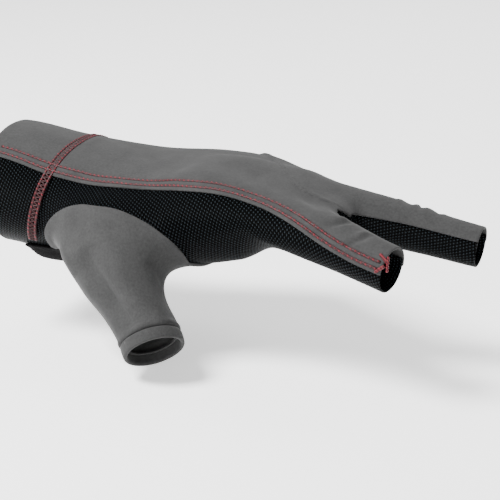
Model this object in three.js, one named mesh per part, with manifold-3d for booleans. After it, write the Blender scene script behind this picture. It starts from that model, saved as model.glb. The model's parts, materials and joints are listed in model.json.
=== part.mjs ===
// A three-finger billiard glove in millimetres, worn on a left hand with its palm down.
// The centre of the cuff mouth is the origin. +X runs to the fingertips, +Y to the little
// finger's side and +Z out of the back of the hand.
// One smooth hand form, blended from a few limbs, gives every panel its outer face. The cloth
// wall lies inside that face, and the seams cut it into panels.
import * as THREE from 'three';
import { mergeVertices } from 'three/addons/utils/BufferGeometryUtils.js';
import Module from 'manifold-3d';

// Driving sizes, in millimetres
const HAND_LENGTH = 115;      // cuff mouth to the knuckles
const WRIST_WIDTH = 62;
const WRIST_DEPTH = 49;
const PALM_WIDTH = 80;
const PALM_DEPTH = 32;
const CUFF_LENGTH = 22.9;     // cuff mouth to the ring seam
const INDEX_LENGTH = 87.5;    // from its root inside the palm to its mouth
const INDEX_WIDTH = 18;
const MIDDLE_LENGTH = 106;
const MIDDLE_WIDTH = 17;
const THUMB_LENGTH = 58.6;
const THUMB_WIDTH = 23;
const FORK_REACH = 26;        // knuckles to the fork between the two fingers
const KNUCKLE_BLEND = 12;     // how far the fingers melt into the palm
const BALL_BLEND = 9.6;       // and how far the ball of the thumb does
const FORK_BLEND = 9;
const THUMB_BLEND = 14;
const THUMB_SEAM_WIDTH = 60;  // the arched seam round the thumb's root
const THUMB_SEAM_RISE = 21.7;
const THUMB_SEAM_WRAP = 1.1;  // how far past the thumb's root it wraps under the palm
const CLOTH = 1.4;
const SEAM_GAP = 0.3;
const HEM_HEIGHT = 3.6;
const HEM_PROUD = 0.5;
const STRAP_START = 10;       // cuff mouth to the strap's back edge
const STRAP_WIDTH = 19;
const STRAP_THICKNESS = 2.6;
const FORK_RISE = 4;          // how far the border climbs at the fork
const GUSSET_DROP = 5;        // how far the gusset's lower seam lies under a finger's middle
const CELL = new THREE.Vector3(8, 5, 5);  // the grid that the skin is drawn on
const SHEET_CELL = 6;         // and that the seams' sheets are drawn on
const ARCH_SEGMENTS = 24;
const SETTLE_TURNS = 3;       // how often a point is moved nearer to the form
const LEAST_SLOPE = 0.2;
const PROBE = 0.4;            // how far apart a field's slope is measured
const MERGE_WITHIN = 1e-4;
const TINY = 1e-6;

const FORWARD = new THREE.Vector3(1, 0, 0);
const UP = new THREE.Vector3(0, 0, 1);
const INDEX_DIRECTION = new THREE.Vector3(0.957, -0.244, -0.156).normalize();
const MIDDLE_DIRECTION = new THREE.Vector3(0.994, -0.028, -0.109).normalize();
const THUMB_DIRECTION = new THREE.Vector3(0.503, -0.533, -0.681).normalize();
const THUMB_SEAM_FACING = new THREE.Vector3(0, -0.926, -0.377).normalize();
const SHEET_LEAN = 1.2;       // how steeply the border's sheet leans where it meets the top
const MOUTH_LEAN = 0.08;      // the cuff mouth comes forward by this share of its drop
const RING_LEAN = new THREE.Vector2(0.065, 0.263);

// Shares of the sizes above: of HAND_LENGTH, PALM_WIDTH and PALM_DEPTH where a limb starts, and
// otherwise as the name says
const INDEX_START = [0.726, -0.25, 0.25];
const MIDDLE_START = [0.752, -0.025, 0.25];
const THUMB_START = [0.448, -0.275, -0.062];
const BALL_START = [0.404, -0.175, -0.125];
const BALL_END = [0.857, -0.25, -0.125];
const WEB_START = [0.97, -0.175, 0.22];
const FORK_ACROSS = -0.237;
const FORK_LIFT = 0.22;
const BALL_OF_PALM_WIDTH = 1 / 3;
const SHEET_MEETS = 0.85;              // of a section's half width, where the sheet meets its side
const TO_ULNAR = [-0.1, 0.25];         // of PALM_WIDTH, where one side's border turns to the other's
const TO_MIDDLE = 0.2;                 // of INDEX_WIDTH, on each side of the ridge
const TO_FINGERS = [0.7, 0.87];        // of HAND_LENGTH, where the palm's border turns to the fingers'
const FORK_FADE = [0.1, 0.7];          // of MIDDLE_WIDTH, where the border comes down from the fork
const SEAM_AHEAD_OF_ROOT = 1 / 24;     // of THUMB_SEAM_WIDTH
const SEAM_BELOW_ROOT = 0.39;          // of THUMB_SEAM_RISE
const SEAM_FLARE = 1.45;               // of its half width, how far it widens under the palm
const FLARE_FROM = 0.12;               // of its rise
const FLARE_TO = 0.6;
const FINGER_BLOCK = 1.5;              // of a finger's width, the block that cuts its mouth
const THUMB_BLOCK = 1.6;
const STRAP_TOP = -0.36;               // of WRIST_DEPTH
const STRAP_SIDE = -0.4;               // of WRIST_WIDTH

// Sections of the palm: at is a share of HAND_LENGTH, across of PALM_WIDTH and lift of
// PALM_DEPTH. Each width and depth mixes shares of the wrist's and the palm's.
const PALM_ROWS = [
  { at: -0.09, across: 0, lift: 0.075,
    wristWide: 1, palmWide: 0, wristDeep: 0.975, palmDeep: 0, power: 2.2 },
  { at: 0, across: 0, lift: 0.075,
    wristWide: 1, palmWide: 0, wristDeep: 0.975, palmDeep: 0, power: 2.2 },
  { at: 0.215, across: 0, lift: -0.006,
    wristWide: 0.97, palmWide: 0, wristDeep: 0.95, palmDeep: 0, power: 2.2 },
  { at: 0.45, across: 0.025, lift: 0,
    wristWide: 0.4, palmWide: 0.565, wristDeep: 0.45, palmDeep: 0.5, power: 2.3 },
  { at: 0.71, across: 0.05, lift: 0.078,
    wristWide: 0, palmWide: 0.975, wristDeep: 0, palmDeep: 1, power: 2.4 },
  { at: 0.93, across: 0.1125, lift: 0.094,
    wristWide: 0, palmWide: 0.9125, wristDeep: 0, palmDeep: 0.81, power: 2.4 },
  { at: 1.12, across: 0.125, lift: 0.094,
    wristWide: 0, palmWide: 0.8, wristDeep: 0, palmDeep: 0.6, power: 2.4 },
];

// Sections of the other limbs: at is a share of the limb's length, and lift, wide and deep
// are shares of its width.
const BALL_ROWS = [
  { at: -0.08, lift: 0, wide: 0.59, deep: 0.67 },
  { at: 0, lift: 0, wide: 0.89, deep: 0.96 },
  { at: 0.38, lift: -0.037, wide: 1, deep: 1.11 },
  { at: 0.81, lift: -0.02, wide: 0.89, deep: 0.93 },
  { at: 1.04, lift: 0, wide: 0.59, deep: 0.59 },
];
const INDEX_ROWS = [
  { at: -0.114, lift: -0.11, wide: 0.89, deep: 0.89 },
  { at: 0, lift: -0.055, wide: 1.22, deep: 1.22 },
  { at: 0.343, lift: 0.2, wide: 1.28, deep: 1.05 },
  { at: 0.686, lift: 0.222, wide: 1.09, deep: 1.13 },
  { at: 0.96, lift: 0.122, wide: 1, deep: 1 },
  { at: 1.143, lift: 0.045, wide: 0.97, deep: 0.96 },
];
const MIDDLE_ROWS = [
  { at: -0.094, lift: -0.118, wide: 0.94, deep: 0.94 },
  { at: 0, lift: -0.059, wide: 1.29, deep: 1.35 },
  { at: 0.283, lift: 0.059, wide: 1.41, deep: 1.41 },
  { at: 0.66, lift: 0.129, wide: 1.13, deep: 1.13 },
  { at: 1, lift: 0.035, wide: 0.99, deep: 0.93 },
  { at: 1.113, lift: 0.018, wide: 0.98, deep: 0.89 },
];
const THUMB_ROWS = [
  { at: -0.1, lift: -0.174, wide: 1.04, deep: 1.39 },
  { at: 0.17, lift: -0.16, wide: 1.3, deep: 1.71 },
  { at: 0.427, lift: -0.19, wide: 1.3, deep: 1.38 },
  { at: 0.683, lift: -0.115, wide: 1.13, deep: 1.07 },
  { at: 0.887, lift: -0.017, wide: 1.04, deep: 1.02 },
  { at: 1.13, lift: 0, wide: 1, deep: 1 },
];
const WEB_ROWS = [
  { at: -0.17, lift: 0, wide: 0.45, deep: 0.45 },
  { at: 0, lift: 0.06, wide: 0.8, deep: 0.62 },
  { at: 0.73, lift: 0.06, wide: 0.8, deep: 0.56 },
  { at: 1.03, lift: -0.03, wide: 0.68, deep: 0.5 },
  { at: 1.23, lift: -0.12, wide: 0.34, deep: 0.34 },
];

// The seam between the grey back and the mesh underside: at is a share of HAND_LENGTH, and
// the other columns say how high it lies, as shares of half the local depth, on the thumb's
// side, on the little finger's side, on the index finger and on the middle finger.
const BORDER_ROWS = [
  { at: -0.1, radial: 0.85, ulnar: 0.1, index: 0.9, middle: 0.5 },
  { at: 0.187, radial: 0.66, ulnar: 0.05, index: 0.9, middle: 0.5 },
  { at: 0.352, radial: 0.61, ulnar: 0.05, index: 0.9, middle: 0.5 },
  { at: 0.535, radial: 0.7, ulnar: 0.05, index: 0.9, middle: 0.5 },
  { at: 0.7, radial: 0.76, ulnar: 0.05, index: 0.78, middle: 0.5 },
  { at: 0.874, radial: 0.8, ulnar: 0.05, index: 0.87, middle: 0.5 },
  { at: 0.978, radial: 0.8, ulnar: 0.05, index: 0.88, middle: 0.48 },
  { at: 1.065, radial: 0.8, ulnar: 0.05, index: 0.69, middle: 0.45 },
  { at: 1.152, radial: 0.8, ulnar: 0.05, index: 0.42, middle: 0.42 },
  { at: 1.239, radial: 0.8, ulnar: 0.05, index: 0.16, middle: 0.38 },
  { at: 1.326, radial: 0.8, ulnar: 0.05, index: 0.1, middle: 0.4 },
  { at: 1.448, radial: 0.8, ulnar: 0.05, index: 0.04, middle: 0.49 },
  { at: 1.7, radial: 0.8, ulnar: 0.05, index: 0, middle: 0.62 },
];

// Two seams drawn on the back of the hand, seen from above: at is a share of HAND_LENGTH and
// across a share of PALM_WIDTH. The ridge runs from the opening to the fork and on between the
// two fingers. The opening leaves the ring and little fingers bare.
const RIDGE_ROWS = [
  { at: 0.509, across: 0.75 },
  { at: 0.891, across: 0.238 },
  { at: 0.961, across: 0.025 },
  { at: 1.013, across: -0.088 },
  { at: 1.1, across: -0.225 },
  { at: 1.161, across: -0.256 },
  { at: 1.222, across: -0.263 },
  { at: 1.85, across: -0.325 },
];
const OPENING_ROWS = [
  { at: 0.45, across: 0.85 },
  { at: 0.752, across: 0.5 },
  { at: 0.909, across: 0.3 },
  { at: 0.99, across: 0.14 },
  { at: 1.06, across: 0.083 },
  { at: 1.13, across: 0.07 },
  { at: 1.19, across: 0.08 },
  { at: 1.26, across: 0.115 },
  { at: 1.85, across: 0.35 },
];

const mix = (from, to, share) => from + (to - from) * share;

function smoothStep(low, high, value) {
  return THREE.MathUtils.smoothstep(value, low, high);
}

// A smooth curve through one column of a table whose rows are in order of at
function sample(rows, column, at) {
  const x = THREE.MathUtils.clamp(at, rows[0].at, rows[rows.length - 1].at);
  let i = 0;
  while (i < rows.length - 2 && x > rows[i + 1].at) i += 1;
  const step = (n) => rows[n + 1].at - rows[n].at;
  const rise = (n) => (rows[n + 1][column] - rows[n][column]) / step(n);
  const slope = (n) => {
    if (n === 0) return rise(0);
    if (n === rows.length - 1) return rise(n - 1);
    return (rise(n - 1) * step(n) + rise(n) * step(n - 1)) / (step(n) + step(n - 1));
  };
  const h = step(i);
  const t = (x - rows[i].at) / h;
  const s = 1 - t;
  return (1 + 2 * t) * s * s * rows[i][column] + t * s * s * h * slope(i)
    + t * t * (3 - 2 * t) * rows[i + 1][column] - t * t * s * h * slope(i + 1);
}

// A limb is a run of rounded sections along a straight line. Its rows are in millimetres.
class Limb {
  constructor(root, direction, up, rows) {
    this.root = root;
    this.direction = direction;
    this.side = new THREE.Vector3().crossVectors(up, direction).normalize();
    this.lift = new THREE.Vector3().crossVectors(direction, this.side);
    this.rows = rows;
  }

  along(point) {
    return point.clone().sub(this.root).dot(this.direction);
  }

  pointAt(along, lifted = sample(this.rows, 'lift', along)) {
    const onLine = this.root.clone().addScaledVector(this.direction, along);
    return onLine.addScaledVector(this.lift, lifted);
  }

  distance(point) {
    const offset = point.clone().sub(this.root);
    const along = offset.dot(this.direction);
    const wide = sample(this.rows, 'wide', along);
    const deep = sample(this.rows, 'deep', along);
    const power = sample(this.rows, 'power', along);
    const a = Math.abs(offset.dot(this.side) - sample(this.rows, 'across', along)) / wide + TINY;
    const b = Math.abs(offset.dot(this.lift) - sample(this.rows, 'lift', along)) / deep + TINY;
    const reach = (a ** power + b ** power) ** (1 / power);
    const tilt = Math.hypot(a ** (power - 1) / wide, b ** (power - 1) / deep);
    const slope = reach ** (1 - power) * tilt;
    const past = Math.max(along - this.rows[this.rows.length - 1].at, this.rows[0].at - along);
    return Math.max((reach - 1) / slope, past);
  }
}

function palmLimb() {
  const rows = PALM_ROWS.map((row) => ({
    at: row.at * HAND_LENGTH,
    across: row.across * PALM_WIDTH,
    lift: row.lift * PALM_DEPTH,
    wide: (row.wristWide * WRIST_WIDTH + row.palmWide * PALM_WIDTH) / 2,
    deep: (row.wristDeep * WRIST_DEPTH + row.palmDeep * PALM_DEPTH) / 2,
    power: row.power,
  }));
  return new Limb(new THREE.Vector3(), FORWARD, UP, rows);
}

function roundLimb(root, direction, up, length, width, shares) {
  const rows = shares.map((row) => ({
    at: row.at * length,
    across: 0,
    lift: row.lift * width,
    wide: (row.wide * width) / 2,
    deep: (row.deep * width) / 2,
    power: 2,
  }));
  return new Limb(root, direction, up, rows);
}

// A place inside the hand, from shares of its length, width and depth
function inHand([along, across, lift]) {
  return new THREE.Vector3(along * HAND_LENGTH, across * PALM_WIDTH, lift * PALM_DEPTH);
}

function limbBetween(root, tip, width, rows) {
  const direction = tip.clone().sub(root).normalize();
  return roundLimb(root, direction, UP, root.distanceTo(tip), width, rows);
}

const fork = new THREE.Vector3(
  HAND_LENGTH + FORK_REACH,
  FORK_ACROSS * PALM_WIDTH,
  FORK_LIFT * PALM_DEPTH,
);
const palm = palmLimb();
const index = roundLimb(
  inHand(INDEX_START), INDEX_DIRECTION, UP, INDEX_LENGTH, INDEX_WIDTH, INDEX_ROWS);
const middle = roundLimb(
  inHand(MIDDLE_START), MIDDLE_DIRECTION, UP, MIDDLE_LENGTH, MIDDLE_WIDTH, MIDDLE_ROWS);
const thumb = roundLimb(
  inHand(THUMB_START), THUMB_DIRECTION, FORWARD, THUMB_LENGTH, THUMB_WIDTH, THUMB_ROWS);
const ball = limbBetween(
  inHand(BALL_START), inHand(BALL_END), BALL_OF_PALM_WIDTH * PALM_WIDTH, BALL_ROWS);
const web = limbBetween(inHand(WEB_START), fork, MIDDLE_WIDTH, WEB_ROWS);

// The nearer of two distances, with a round fillet of the given size where they are alike
function blend(a, b, size) {
  const h = Math.max(size - Math.abs(a - b), 0) / size;
  return Math.min(a, b) - (h * h * size) / 4;
}

// The hand form: how far a point lies outside it
function handDistance(point) {
  let distance = blend(palm.distance(point), ball.distance(point), BALL_BLEND);
  distance = blend(distance, index.distance(point), KNUCKLE_BLEND);
  distance = blend(distance, middle.distance(point), KNUCKLE_BLEND);
  distance = blend(distance, web.distance(point), FORK_BLEND);
  return blend(distance, thumb.distance(point), THUMB_BLEND);
}

function slopeOf(field, point) {
  const probe = new THREE.Vector3();
  const along = (axis) => {
    probe.copy(point).setComponent(axis, point.getComponent(axis) + PROBE);
    const ahead = field(probe);
    probe.setComponent(axis, point.getComponent(axis) - PROBE);
    return (ahead - field(probe)) / (2 * PROBE);
  };
  return new THREE.Vector3(along(0), along(1), along(2));
}

// The corners of the box that holds every limb
function handBox() {
  const box = new THREE.Box3();
  for (const limb of [palm, index, middle, thumb]) {
    for (const row of limb.rows) {
      const centre = limb.pointAt(row.at).addScaledVector(limb.side, row.across);
      const reach = Math.max(row.wide, row.deep) + CELL.x;
      const around = new THREE.Vector3(2, 2, 2).multiplyScalar(reach);
      box.union(new THREE.Box3().setFromCenterAndSize(centre, around));
    }
  }
  return box;
}

// A closed skin of triangles on the hand form. Each cell that the form passes through gets one
// point, each grid edge that it crosses gets one square, and the points are then moved onto it.
function handSkin() {
  const box = handBox();
  const size = box.getSize(new THREE.Vector3());
  const cellsAlong = size.clone().divide(CELL).ceil();
  const count = cellsAlong.addScalar(1).toArray();
  const node = (i, j, k) => box.min.clone().add(new THREE.Vector3(i, j, k).multiply(CELL));
  const place = (i, j, k) => (i * count[1] + j) * count[2] + k;
  const values = new Float64Array(count[0] * count[1] * count[2]);
  for (let i = 0; i < count[0]; i += 1) {
    for (let j = 0; j < count[1]; j += 1) {
      for (let k = 0; k < count[2]; k += 1) values[place(i, j, k)] = handDistance(node(i, j, k));
    }
  }
  const points = [];
  const cells = new Map();
  const corners = [0, 1, 2, 3, 4, 5, 6, 7].map((n) => [n & 1, (n >> 1) & 1, (n >> 2) & 1]);
  const cellPoint = (i, j, k) => {
    const key = place(i, j, k);
    if (cells.has(key)) return cells.get(key);
    const middleOf = new THREE.Vector3();
    let crossings = 0;
    corners.forEach((from, n) => {
      for (const bit of [1, 2, 4]) {
        if (n & bit) continue;
        const to = corners[n | bit];
        const a = values[place(i + from[0], j + from[1], k + from[2])];
        const b = values[place(i + to[0], j + to[1], k + to[2])];
        if (a < 0 === b < 0) continue;
        const start = node(i + from[0], j + from[1], k + from[2]);
        middleOf.add(start.lerp(node(i + to[0], j + to[1], k + to[2]), a / (a - b)));
        crossings += 1;
      }
    });
    points.push(middleOf.divideScalar(crossings));
    cells.set(key, points.length - 1);
    return points.length - 1;
  };
  const triangles = [];
  for (let i = 1; i < count[0] - 1; i += 1) {
    for (let j = 1; j < count[1] - 1; j += 1) {
      for (let k = 1; k < count[2] - 1; k += 1) {
        const inside = values[place(i, j, k)] < 0;
        const edges = [
          [place(i + 1, j, k), [i, j - 1, k - 1], [i, j, k - 1], [i, j, k], [i, j - 1, k]],
          [place(i, j + 1, k), [i - 1, j, k - 1], [i - 1, j, k], [i, j, k], [i, j, k - 1]],
          [place(i, j, k + 1), [i - 1, j - 1, k], [i, j - 1, k], [i, j, k], [i - 1, j, k]],
        ];
        for (const [end, ...around] of edges) {
          if (values[end] < 0 === inside) continue;
          const [a, b, c, d] = around.map((cell) => cellPoint(...cell));
          if (inside) triangles.push([a, b, c], [a, c, d]);
          else triangles.push([a, c, b], [a, d, c]);
        }
      }
    }
  }
  for (const point of points) {
    for (let turn = 0; turn < SETTLE_TURNS; turn += 1) {
      const slope = slopeOf(handDistance, point);
      point.addScaledVector(slope, -handDistance(point) / Math.max(slope.lengthSq(), LEAST_SLOPE));
    }
  }
  const outward = points.map((point) => slopeOf(handDistance, point).normalize());
  return { points, outward, triangles };
}

const wasm = await Module();
wasm.setup();

function solidOf(geometry) {
  const bare = geometry.clone();
  bare.deleteAttribute('normal');
  bare.deleteAttribute('uv');
  const merged = mergeVertices(bare, MERGE_WITHIN);
  return new wasm.Manifold(new wasm.Mesh({
    numProp: 3,
    vertProperties: new Float32Array(merged.attributes.position.array),
    triVerts: new Uint32Array(merged.index.array),
  }));
}

function geometryOf(solid) {
  const mesh = solid.getMesh();
  const geometry = new THREE.BufferGeometry();
  const places = new THREE.BufferAttribute(new Float32Array(mesh.vertProperties), 3);
  geometry.setAttribute('position', places);
  geometry.setIndex(new THREE.BufferAttribute(new Uint32Array(mesh.triVerts), 1));
  geometry.computeVertexNormals();
  return geometry;
}

// The hand's skin, moved outwards by a distance
function skinSolid(skin, distance) {
  const geometry = new THREE.BufferGeometry();
  const moved = skin.points.map(
    (point, n) => point.clone().addScaledVector(skin.outward[n], distance));
  const places = moved.flatMap((point) => point.toArray());
  geometry.setAttribute('position', new THREE.Float32BufferAttribute(places, 3));
  geometry.setIndex(skin.triangles.flat());
  return solidOf(geometry);
}

// How far a block runs on, well past the glove
const SPAN = 4 * (HAND_LENGTH + MIDDLE_LENGTH);

// A block that lies on one side of a curved sheet: every point of the face at its low end is
// moved along axis to where the sheet is, and the other end stays far away.
function blockBeyond(axis, sign, sheet) {
  const box = handBox().expandByScalar(2 * CELL.x);
  const size = box.getSize(new THREE.Vector3());
  const centre = box.getCenter(new THREE.Vector3());
  const cells = (n) => Math.ceil(size.getComponent(n) / SHEET_CELL);
  const segments = [0, 1, 2].map((n) => (n === axis ? 1 : cells(n)));
  const geometry = new THREE.BoxGeometry(size.x, size.y, size.z, ...segments);
  geometry.translate(centre.x, centre.y, centre.z);
  const places = geometry.attributes.position;
  const point = new THREE.Vector3();
  for (let n = 0; n < places.count; n += 1) {
    point.fromBufferAttribute(places, n);
    const ahead = sign * (point.getComponent(axis) - centre.getComponent(axis)) > 0;
    point.setComponent(axis, ahead ? centre.getComponent(axis) + sign * SPAN : sheet(point));
    places.setXYZ(n, point.x, point.y, point.z);
  }
  return solidOf(geometry);
}

// A square block that starts at a point and runs on along a direction
function blockFrom(start, direction, width, length) {
  const geometry = new THREE.BoxGeometry(length, width, width);
  geometry.translate(length / 2, 0, 0);
  geometry.applyQuaternion(new THREE.Quaternion().setFromUnitVectors(FORWARD, direction));
  geometry.translate(start.x, start.y, start.z);
  return solidOf(geometry);
}

const across = (rows, x) => sample(rows, 'across', x / HAND_LENGTH) * PALM_WIDTH;
const ridgeAt = (x) => across(RIDGE_ROWS, x);
const openingAt = (x) => across(OPENING_ROWS, x);

// A limb's section where it meets x: its middle, and its half width and depth
function sectionAt(limb, x) {
  const along = (x - limb.root.x) / limb.direction.x;
  const aside = sample(limb.rows, 'across', along);
  const centre = limb.pointAt(along).addScaledVector(limb.side, aside);
  return { centre, wide: sample(limb.rows, 'wide', along), deep: sample(limb.rows, 'deep', along) };
}

// The height of a seam's sheet on a limb, which meets the thumb's side of the section at a
// share of half its depth. The higher it lies, the more it leans, to cross the cloth squarely.
function sheetHeight(limb, x, y, share) {
  const { centre, wide, deep } = sectionAt(limb, x);
  const pastSeam = y - centre.y + SHEET_MEETS * wide;
  const reach = INDEX_WIDTH / 2;
  const lean = SHEET_LEAN * share * share;
  return centre.z + share * deep - lean * THREE.MathUtils.clamp(pastSeam, -reach, reach);
}

function borderHeight(x, y) {
  const at = x / HAND_LENGTH;
  const share = (column) => sample(BORDER_ROWS, column, at);
  const pastRidge = y - ridgeAt(x);
  const toUlnar = smoothStep(...TO_ULNAR, y / PALM_WIDTH);
  const onRadial = sheetHeight(palm, x, y, share('radial'));
  const onPalm = mix(onRadial, sheetHeight(palm, x, y, share('ulnar')), toUlnar);
  const toMiddle = smoothStep(-TO_MIDDLE, TO_MIDDLE, pastRidge / INDEX_WIDTH);
  const onIndex = sheetHeight(index, x, y, share('index'));
  const onFingers = mix(onIndex, sheetHeight(middle, x, y, share('middle')), toMiddle);
  const besideFork = Math.hypot(x - HAND_LENGTH - FORK_REACH, pastRidge) / MIDDLE_WIDTH;
  const rise = FORK_RISE * (1 - smoothStep(...FORK_FADE, besideFork));
  return mix(onPalm, onFingers, smoothStep(...TO_FINGERS, at)) + rise;
}

function gussetFloor(x, y) {
  const toMiddle = smoothStep(-INDEX_WIDTH / 2, INDEX_WIDTH / 2, y - ridgeAt(x));
  return mix(sectionAt(index, x).centre.z, sectionAt(middle, x).centre.z, toMiddle) - GUSSET_DROP;
}

const ringAt = (y, z) => CUFF_LENGTH + RING_LEAN.x * y + RING_LEAN.y * z;

function fingerMiddle(limb, x) {
  return limb.root.y + (limb.direction.y * (x - limb.root.x)) / limb.direction.x;
}

// Everything in front of the arched seam round the thumb's root, set back by a gap
function thumbSeamBlock(gap) {
  const halfWidth = THUMB_SEAM_WIDTH / 2 - gap;
  const rise = THUMB_SEAM_RISE - gap;
  const drop = THUMB_LENGTH + THUMB_WIDTH;
  const outline = new THREE.Shape();
  outline.moveTo(halfWidth, 0);
  outline.absellipse(0, 0, halfWidth, rise, 0, Math.PI, false);
  outline.lineTo(-halfWidth, -drop);
  outline.lineTo(halfWidth * SEAM_FLARE, -drop);
  outline.lineTo(halfWidth * SEAM_FLARE, -rise * FLARE_TO);
  outline.lineTo(halfWidth, -rise * FLARE_FROM);
  const settings = { depth: drop, bevelEnabled: false, curveSegments: ARCH_SEGMENTS };
  const geometry = new THREE.ExtrudeGeometry(outline, settings);
  geometry.translate(0, 0, gap - THUMB_SEAM_WRAP);
  const rising = new THREE.Vector3().crossVectors(THUMB_SEAM_FACING, FORWARD).normalize();
  geometry.applyMatrix4(new THREE.Matrix4().makeBasis(FORWARD, rising, THUMB_SEAM_FACING));
  const centre = thumb.root.clone();
  centre.addScaledVector(FORWARD, THUMB_SEAM_WIDTH * SEAM_AHEAD_OF_ROOT);
  centre.addScaledVector(rising, -THUMB_SEAM_RISE * SEAM_BELOW_ROOT);
  geometry.translate(centre.x, centre.y, centre.z);
  return solidOf(geometry);
}

// The mouths and the opening, all taken off the shell of cloth
function trimmings() {
  const pastMouth = (limb, length, width) => blockFrom(
    limb.pointAt(length), limb.direction, width, THUMB_LENGTH);
  const indexMouth = pastMouth(index, INDEX_LENGTH, INDEX_WIDTH * FINGER_BLOCK);
  const middleMouth = pastMouth(middle, MIDDLE_LENGTH, MIDDLE_WIDTH * FINGER_BLOCK);
  const thumbMouth = pastMouth(thumb, THUMB_LENGTH, THUMB_WIDTH * THUMB_BLOCK);
  const cuffMouth = blockBeyond(0, -1, (point) => -MOUTH_LEAN * point.z);
  const opening = blockBeyond(1, 1, (point) => openingAt(point.x));
  return [indexMouth, middleMouth, thumbMouth, cuffMouth, opening];
}

const half = SEAM_GAP / 2;
const skin = handSkin();
const outside = skinSolid(skin, 0);
const inside = skinSolid(skin, -CLOTH);
const cut = (solid, tools) => tools.reduce((rest, tool) => rest.subtract(tool), solid);
const keep = (solid, tools) => tools.reduce((rest, tool) => rest.intersect(tool), solid);

const trims = trimmings();
const cloth = cut(outside.subtract(inside), trims);

// Each seam is a block on one side of it. Its two panels keep half a gap each: one panel is
// what lies in the smaller block, and the other what lies outside the larger one.
const behindRing = (shift) => blockBeyond(0, -1, (point) => ringAt(point.y, point.z) + shift);
const belowBorder = (shift) => blockBeyond(2, -1, (point) => borderHeight(point.x, point.y) + shift);
const middleSide = (shift) => blockBeyond(1, 1, (point) => ridgeAt(point.x) - shift);

// The gusset's block lies between the middles of the two fingers, from just behind the fork on
function gussetBlock(gap) {
  const start = HAND_LENGTH + FORK_REACH - MIDDLE_WIDTH / 2;
  return keep(blockBeyond(0, 1, () => start + gap), [
    blockBeyond(1, 1, (point) => fingerMiddle(index, point.x) + gap),
    blockBeyond(1, -1, (point) => fingerMiddle(middle, point.x) - gap),
    blockBeyond(2, 1, (point) => gussetFloor(point.x, point.y) + gap),
  ]);
}

function thumbPieces() {
  const hemStart = thumb.pointAt(THUMB_LENGTH - HEM_HEIGHT);
  const hemBlock = (gap) => {
    const start = hemStart.clone().addScaledVector(thumb.direction, gap);
    return blockFrom(start, thumb.direction, THUMB_WIDTH * THUMB_BLOCK, THUMB_LENGTH);
  };
  const stall = keep(cloth, [thumbSeamBlock(half)]).subtract(hemBlock(-half));
  const band = skinSolid(skin, HEM_PROUD).subtract(inside);
  return { stall, hem: cut(band, trims).intersect(hemBlock(half)) };
}

// The strap lies on the underside of the wrist, clear of the cuff by the seam gap
function strapSolid() {
  const band = skinSolid(skin, SEAM_GAP + STRAP_THICKNESS).subtract(skinSolid(skin, SEAM_GAP));
  const lean = (point) => -MOUTH_LEAN * point.z + STRAP_START;
  return keep(band, [
    blockBeyond(0, 1, lean),
    blockBeyond(0, -1, (point) => lean(point) + STRAP_WIDTH),
    blockBeyond(2, -1, () => STRAP_TOP * WRIST_DEPTH),
    blockBeyond(1, 1, () => STRAP_SIDE * WRIST_WIDTH),
  ]);
}

const GREY_KNIT = { color: 0x6b6b6a, roughness: 0.85, metalness: 0 };
const BLACK_MESH = { color: 0x1b1e22, roughness: 0.6, metalness: 0 };
const BLACK_PILE = { color: 0x0b0b0c, roughness: 0.95, metalness: 0 };

const glove = new THREE.Group();

function addPiece(name, solid, finish) {
  const mesh = new THREE.Mesh(geometryOf(solid), new THREE.MeshStandardMaterial(finish));
  mesh.name = name;
  glove.add(mesh);
}

const hand = cut(cloth, [thumbSeamBlock(-half)]);
const cuff = keep(hand, [behindRing(-half)]);
const pastRing = cut(hand, [behindRing(half)]);
const back = cut(pastRing, [belowBorder(half)]);
const under = keep(pastRing, [belowBorder(-half)]);
const { stall, hem } = thumbPieces();
addPiece('cuff_back', cut(cuff, [belowBorder(half)]), GREY_KNIT);
addPiece('cuff_underside', keep(cuff, [belowBorder(-half)]), BLACK_MESH);
addPiece('back_panel', cut(back, [middleSide(half)]), GREY_KNIT);
addPiece('middle_finger_back', keep(back, [middleSide(-half)]), GREY_KNIT);
addPiece('palm_panel', under.subtract(gussetBlock(-half)), BLACK_MESH);
addPiece('finger_gusset', under.intersect(gussetBlock(half)), BLACK_MESH);
addPiece('thumb_stall', stall, GREY_KNIT);
addPiece('thumb_hem', hem, GREY_KNIT);
addPiece('wrist_strap', strapSolid(), BLACK_PILE);

export default glove;
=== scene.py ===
"""A three-finger billiard glove in cloth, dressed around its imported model.

The hand form of the model is drawn again here as a fine skin, with its ends and seams eased to
the photograph, and every panel of cloth is cut from it. Lengths in this file are millimetres,
apart from what goes to Blender, which is in metres.
"""
import json
import logging
import math
from dataclasses import dataclass, field
from enum import Enum
from typing import Callable, Sequence

import bpy
import numpy as np
from mathutils import Matrix, Vector, kdtree, noise

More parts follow.
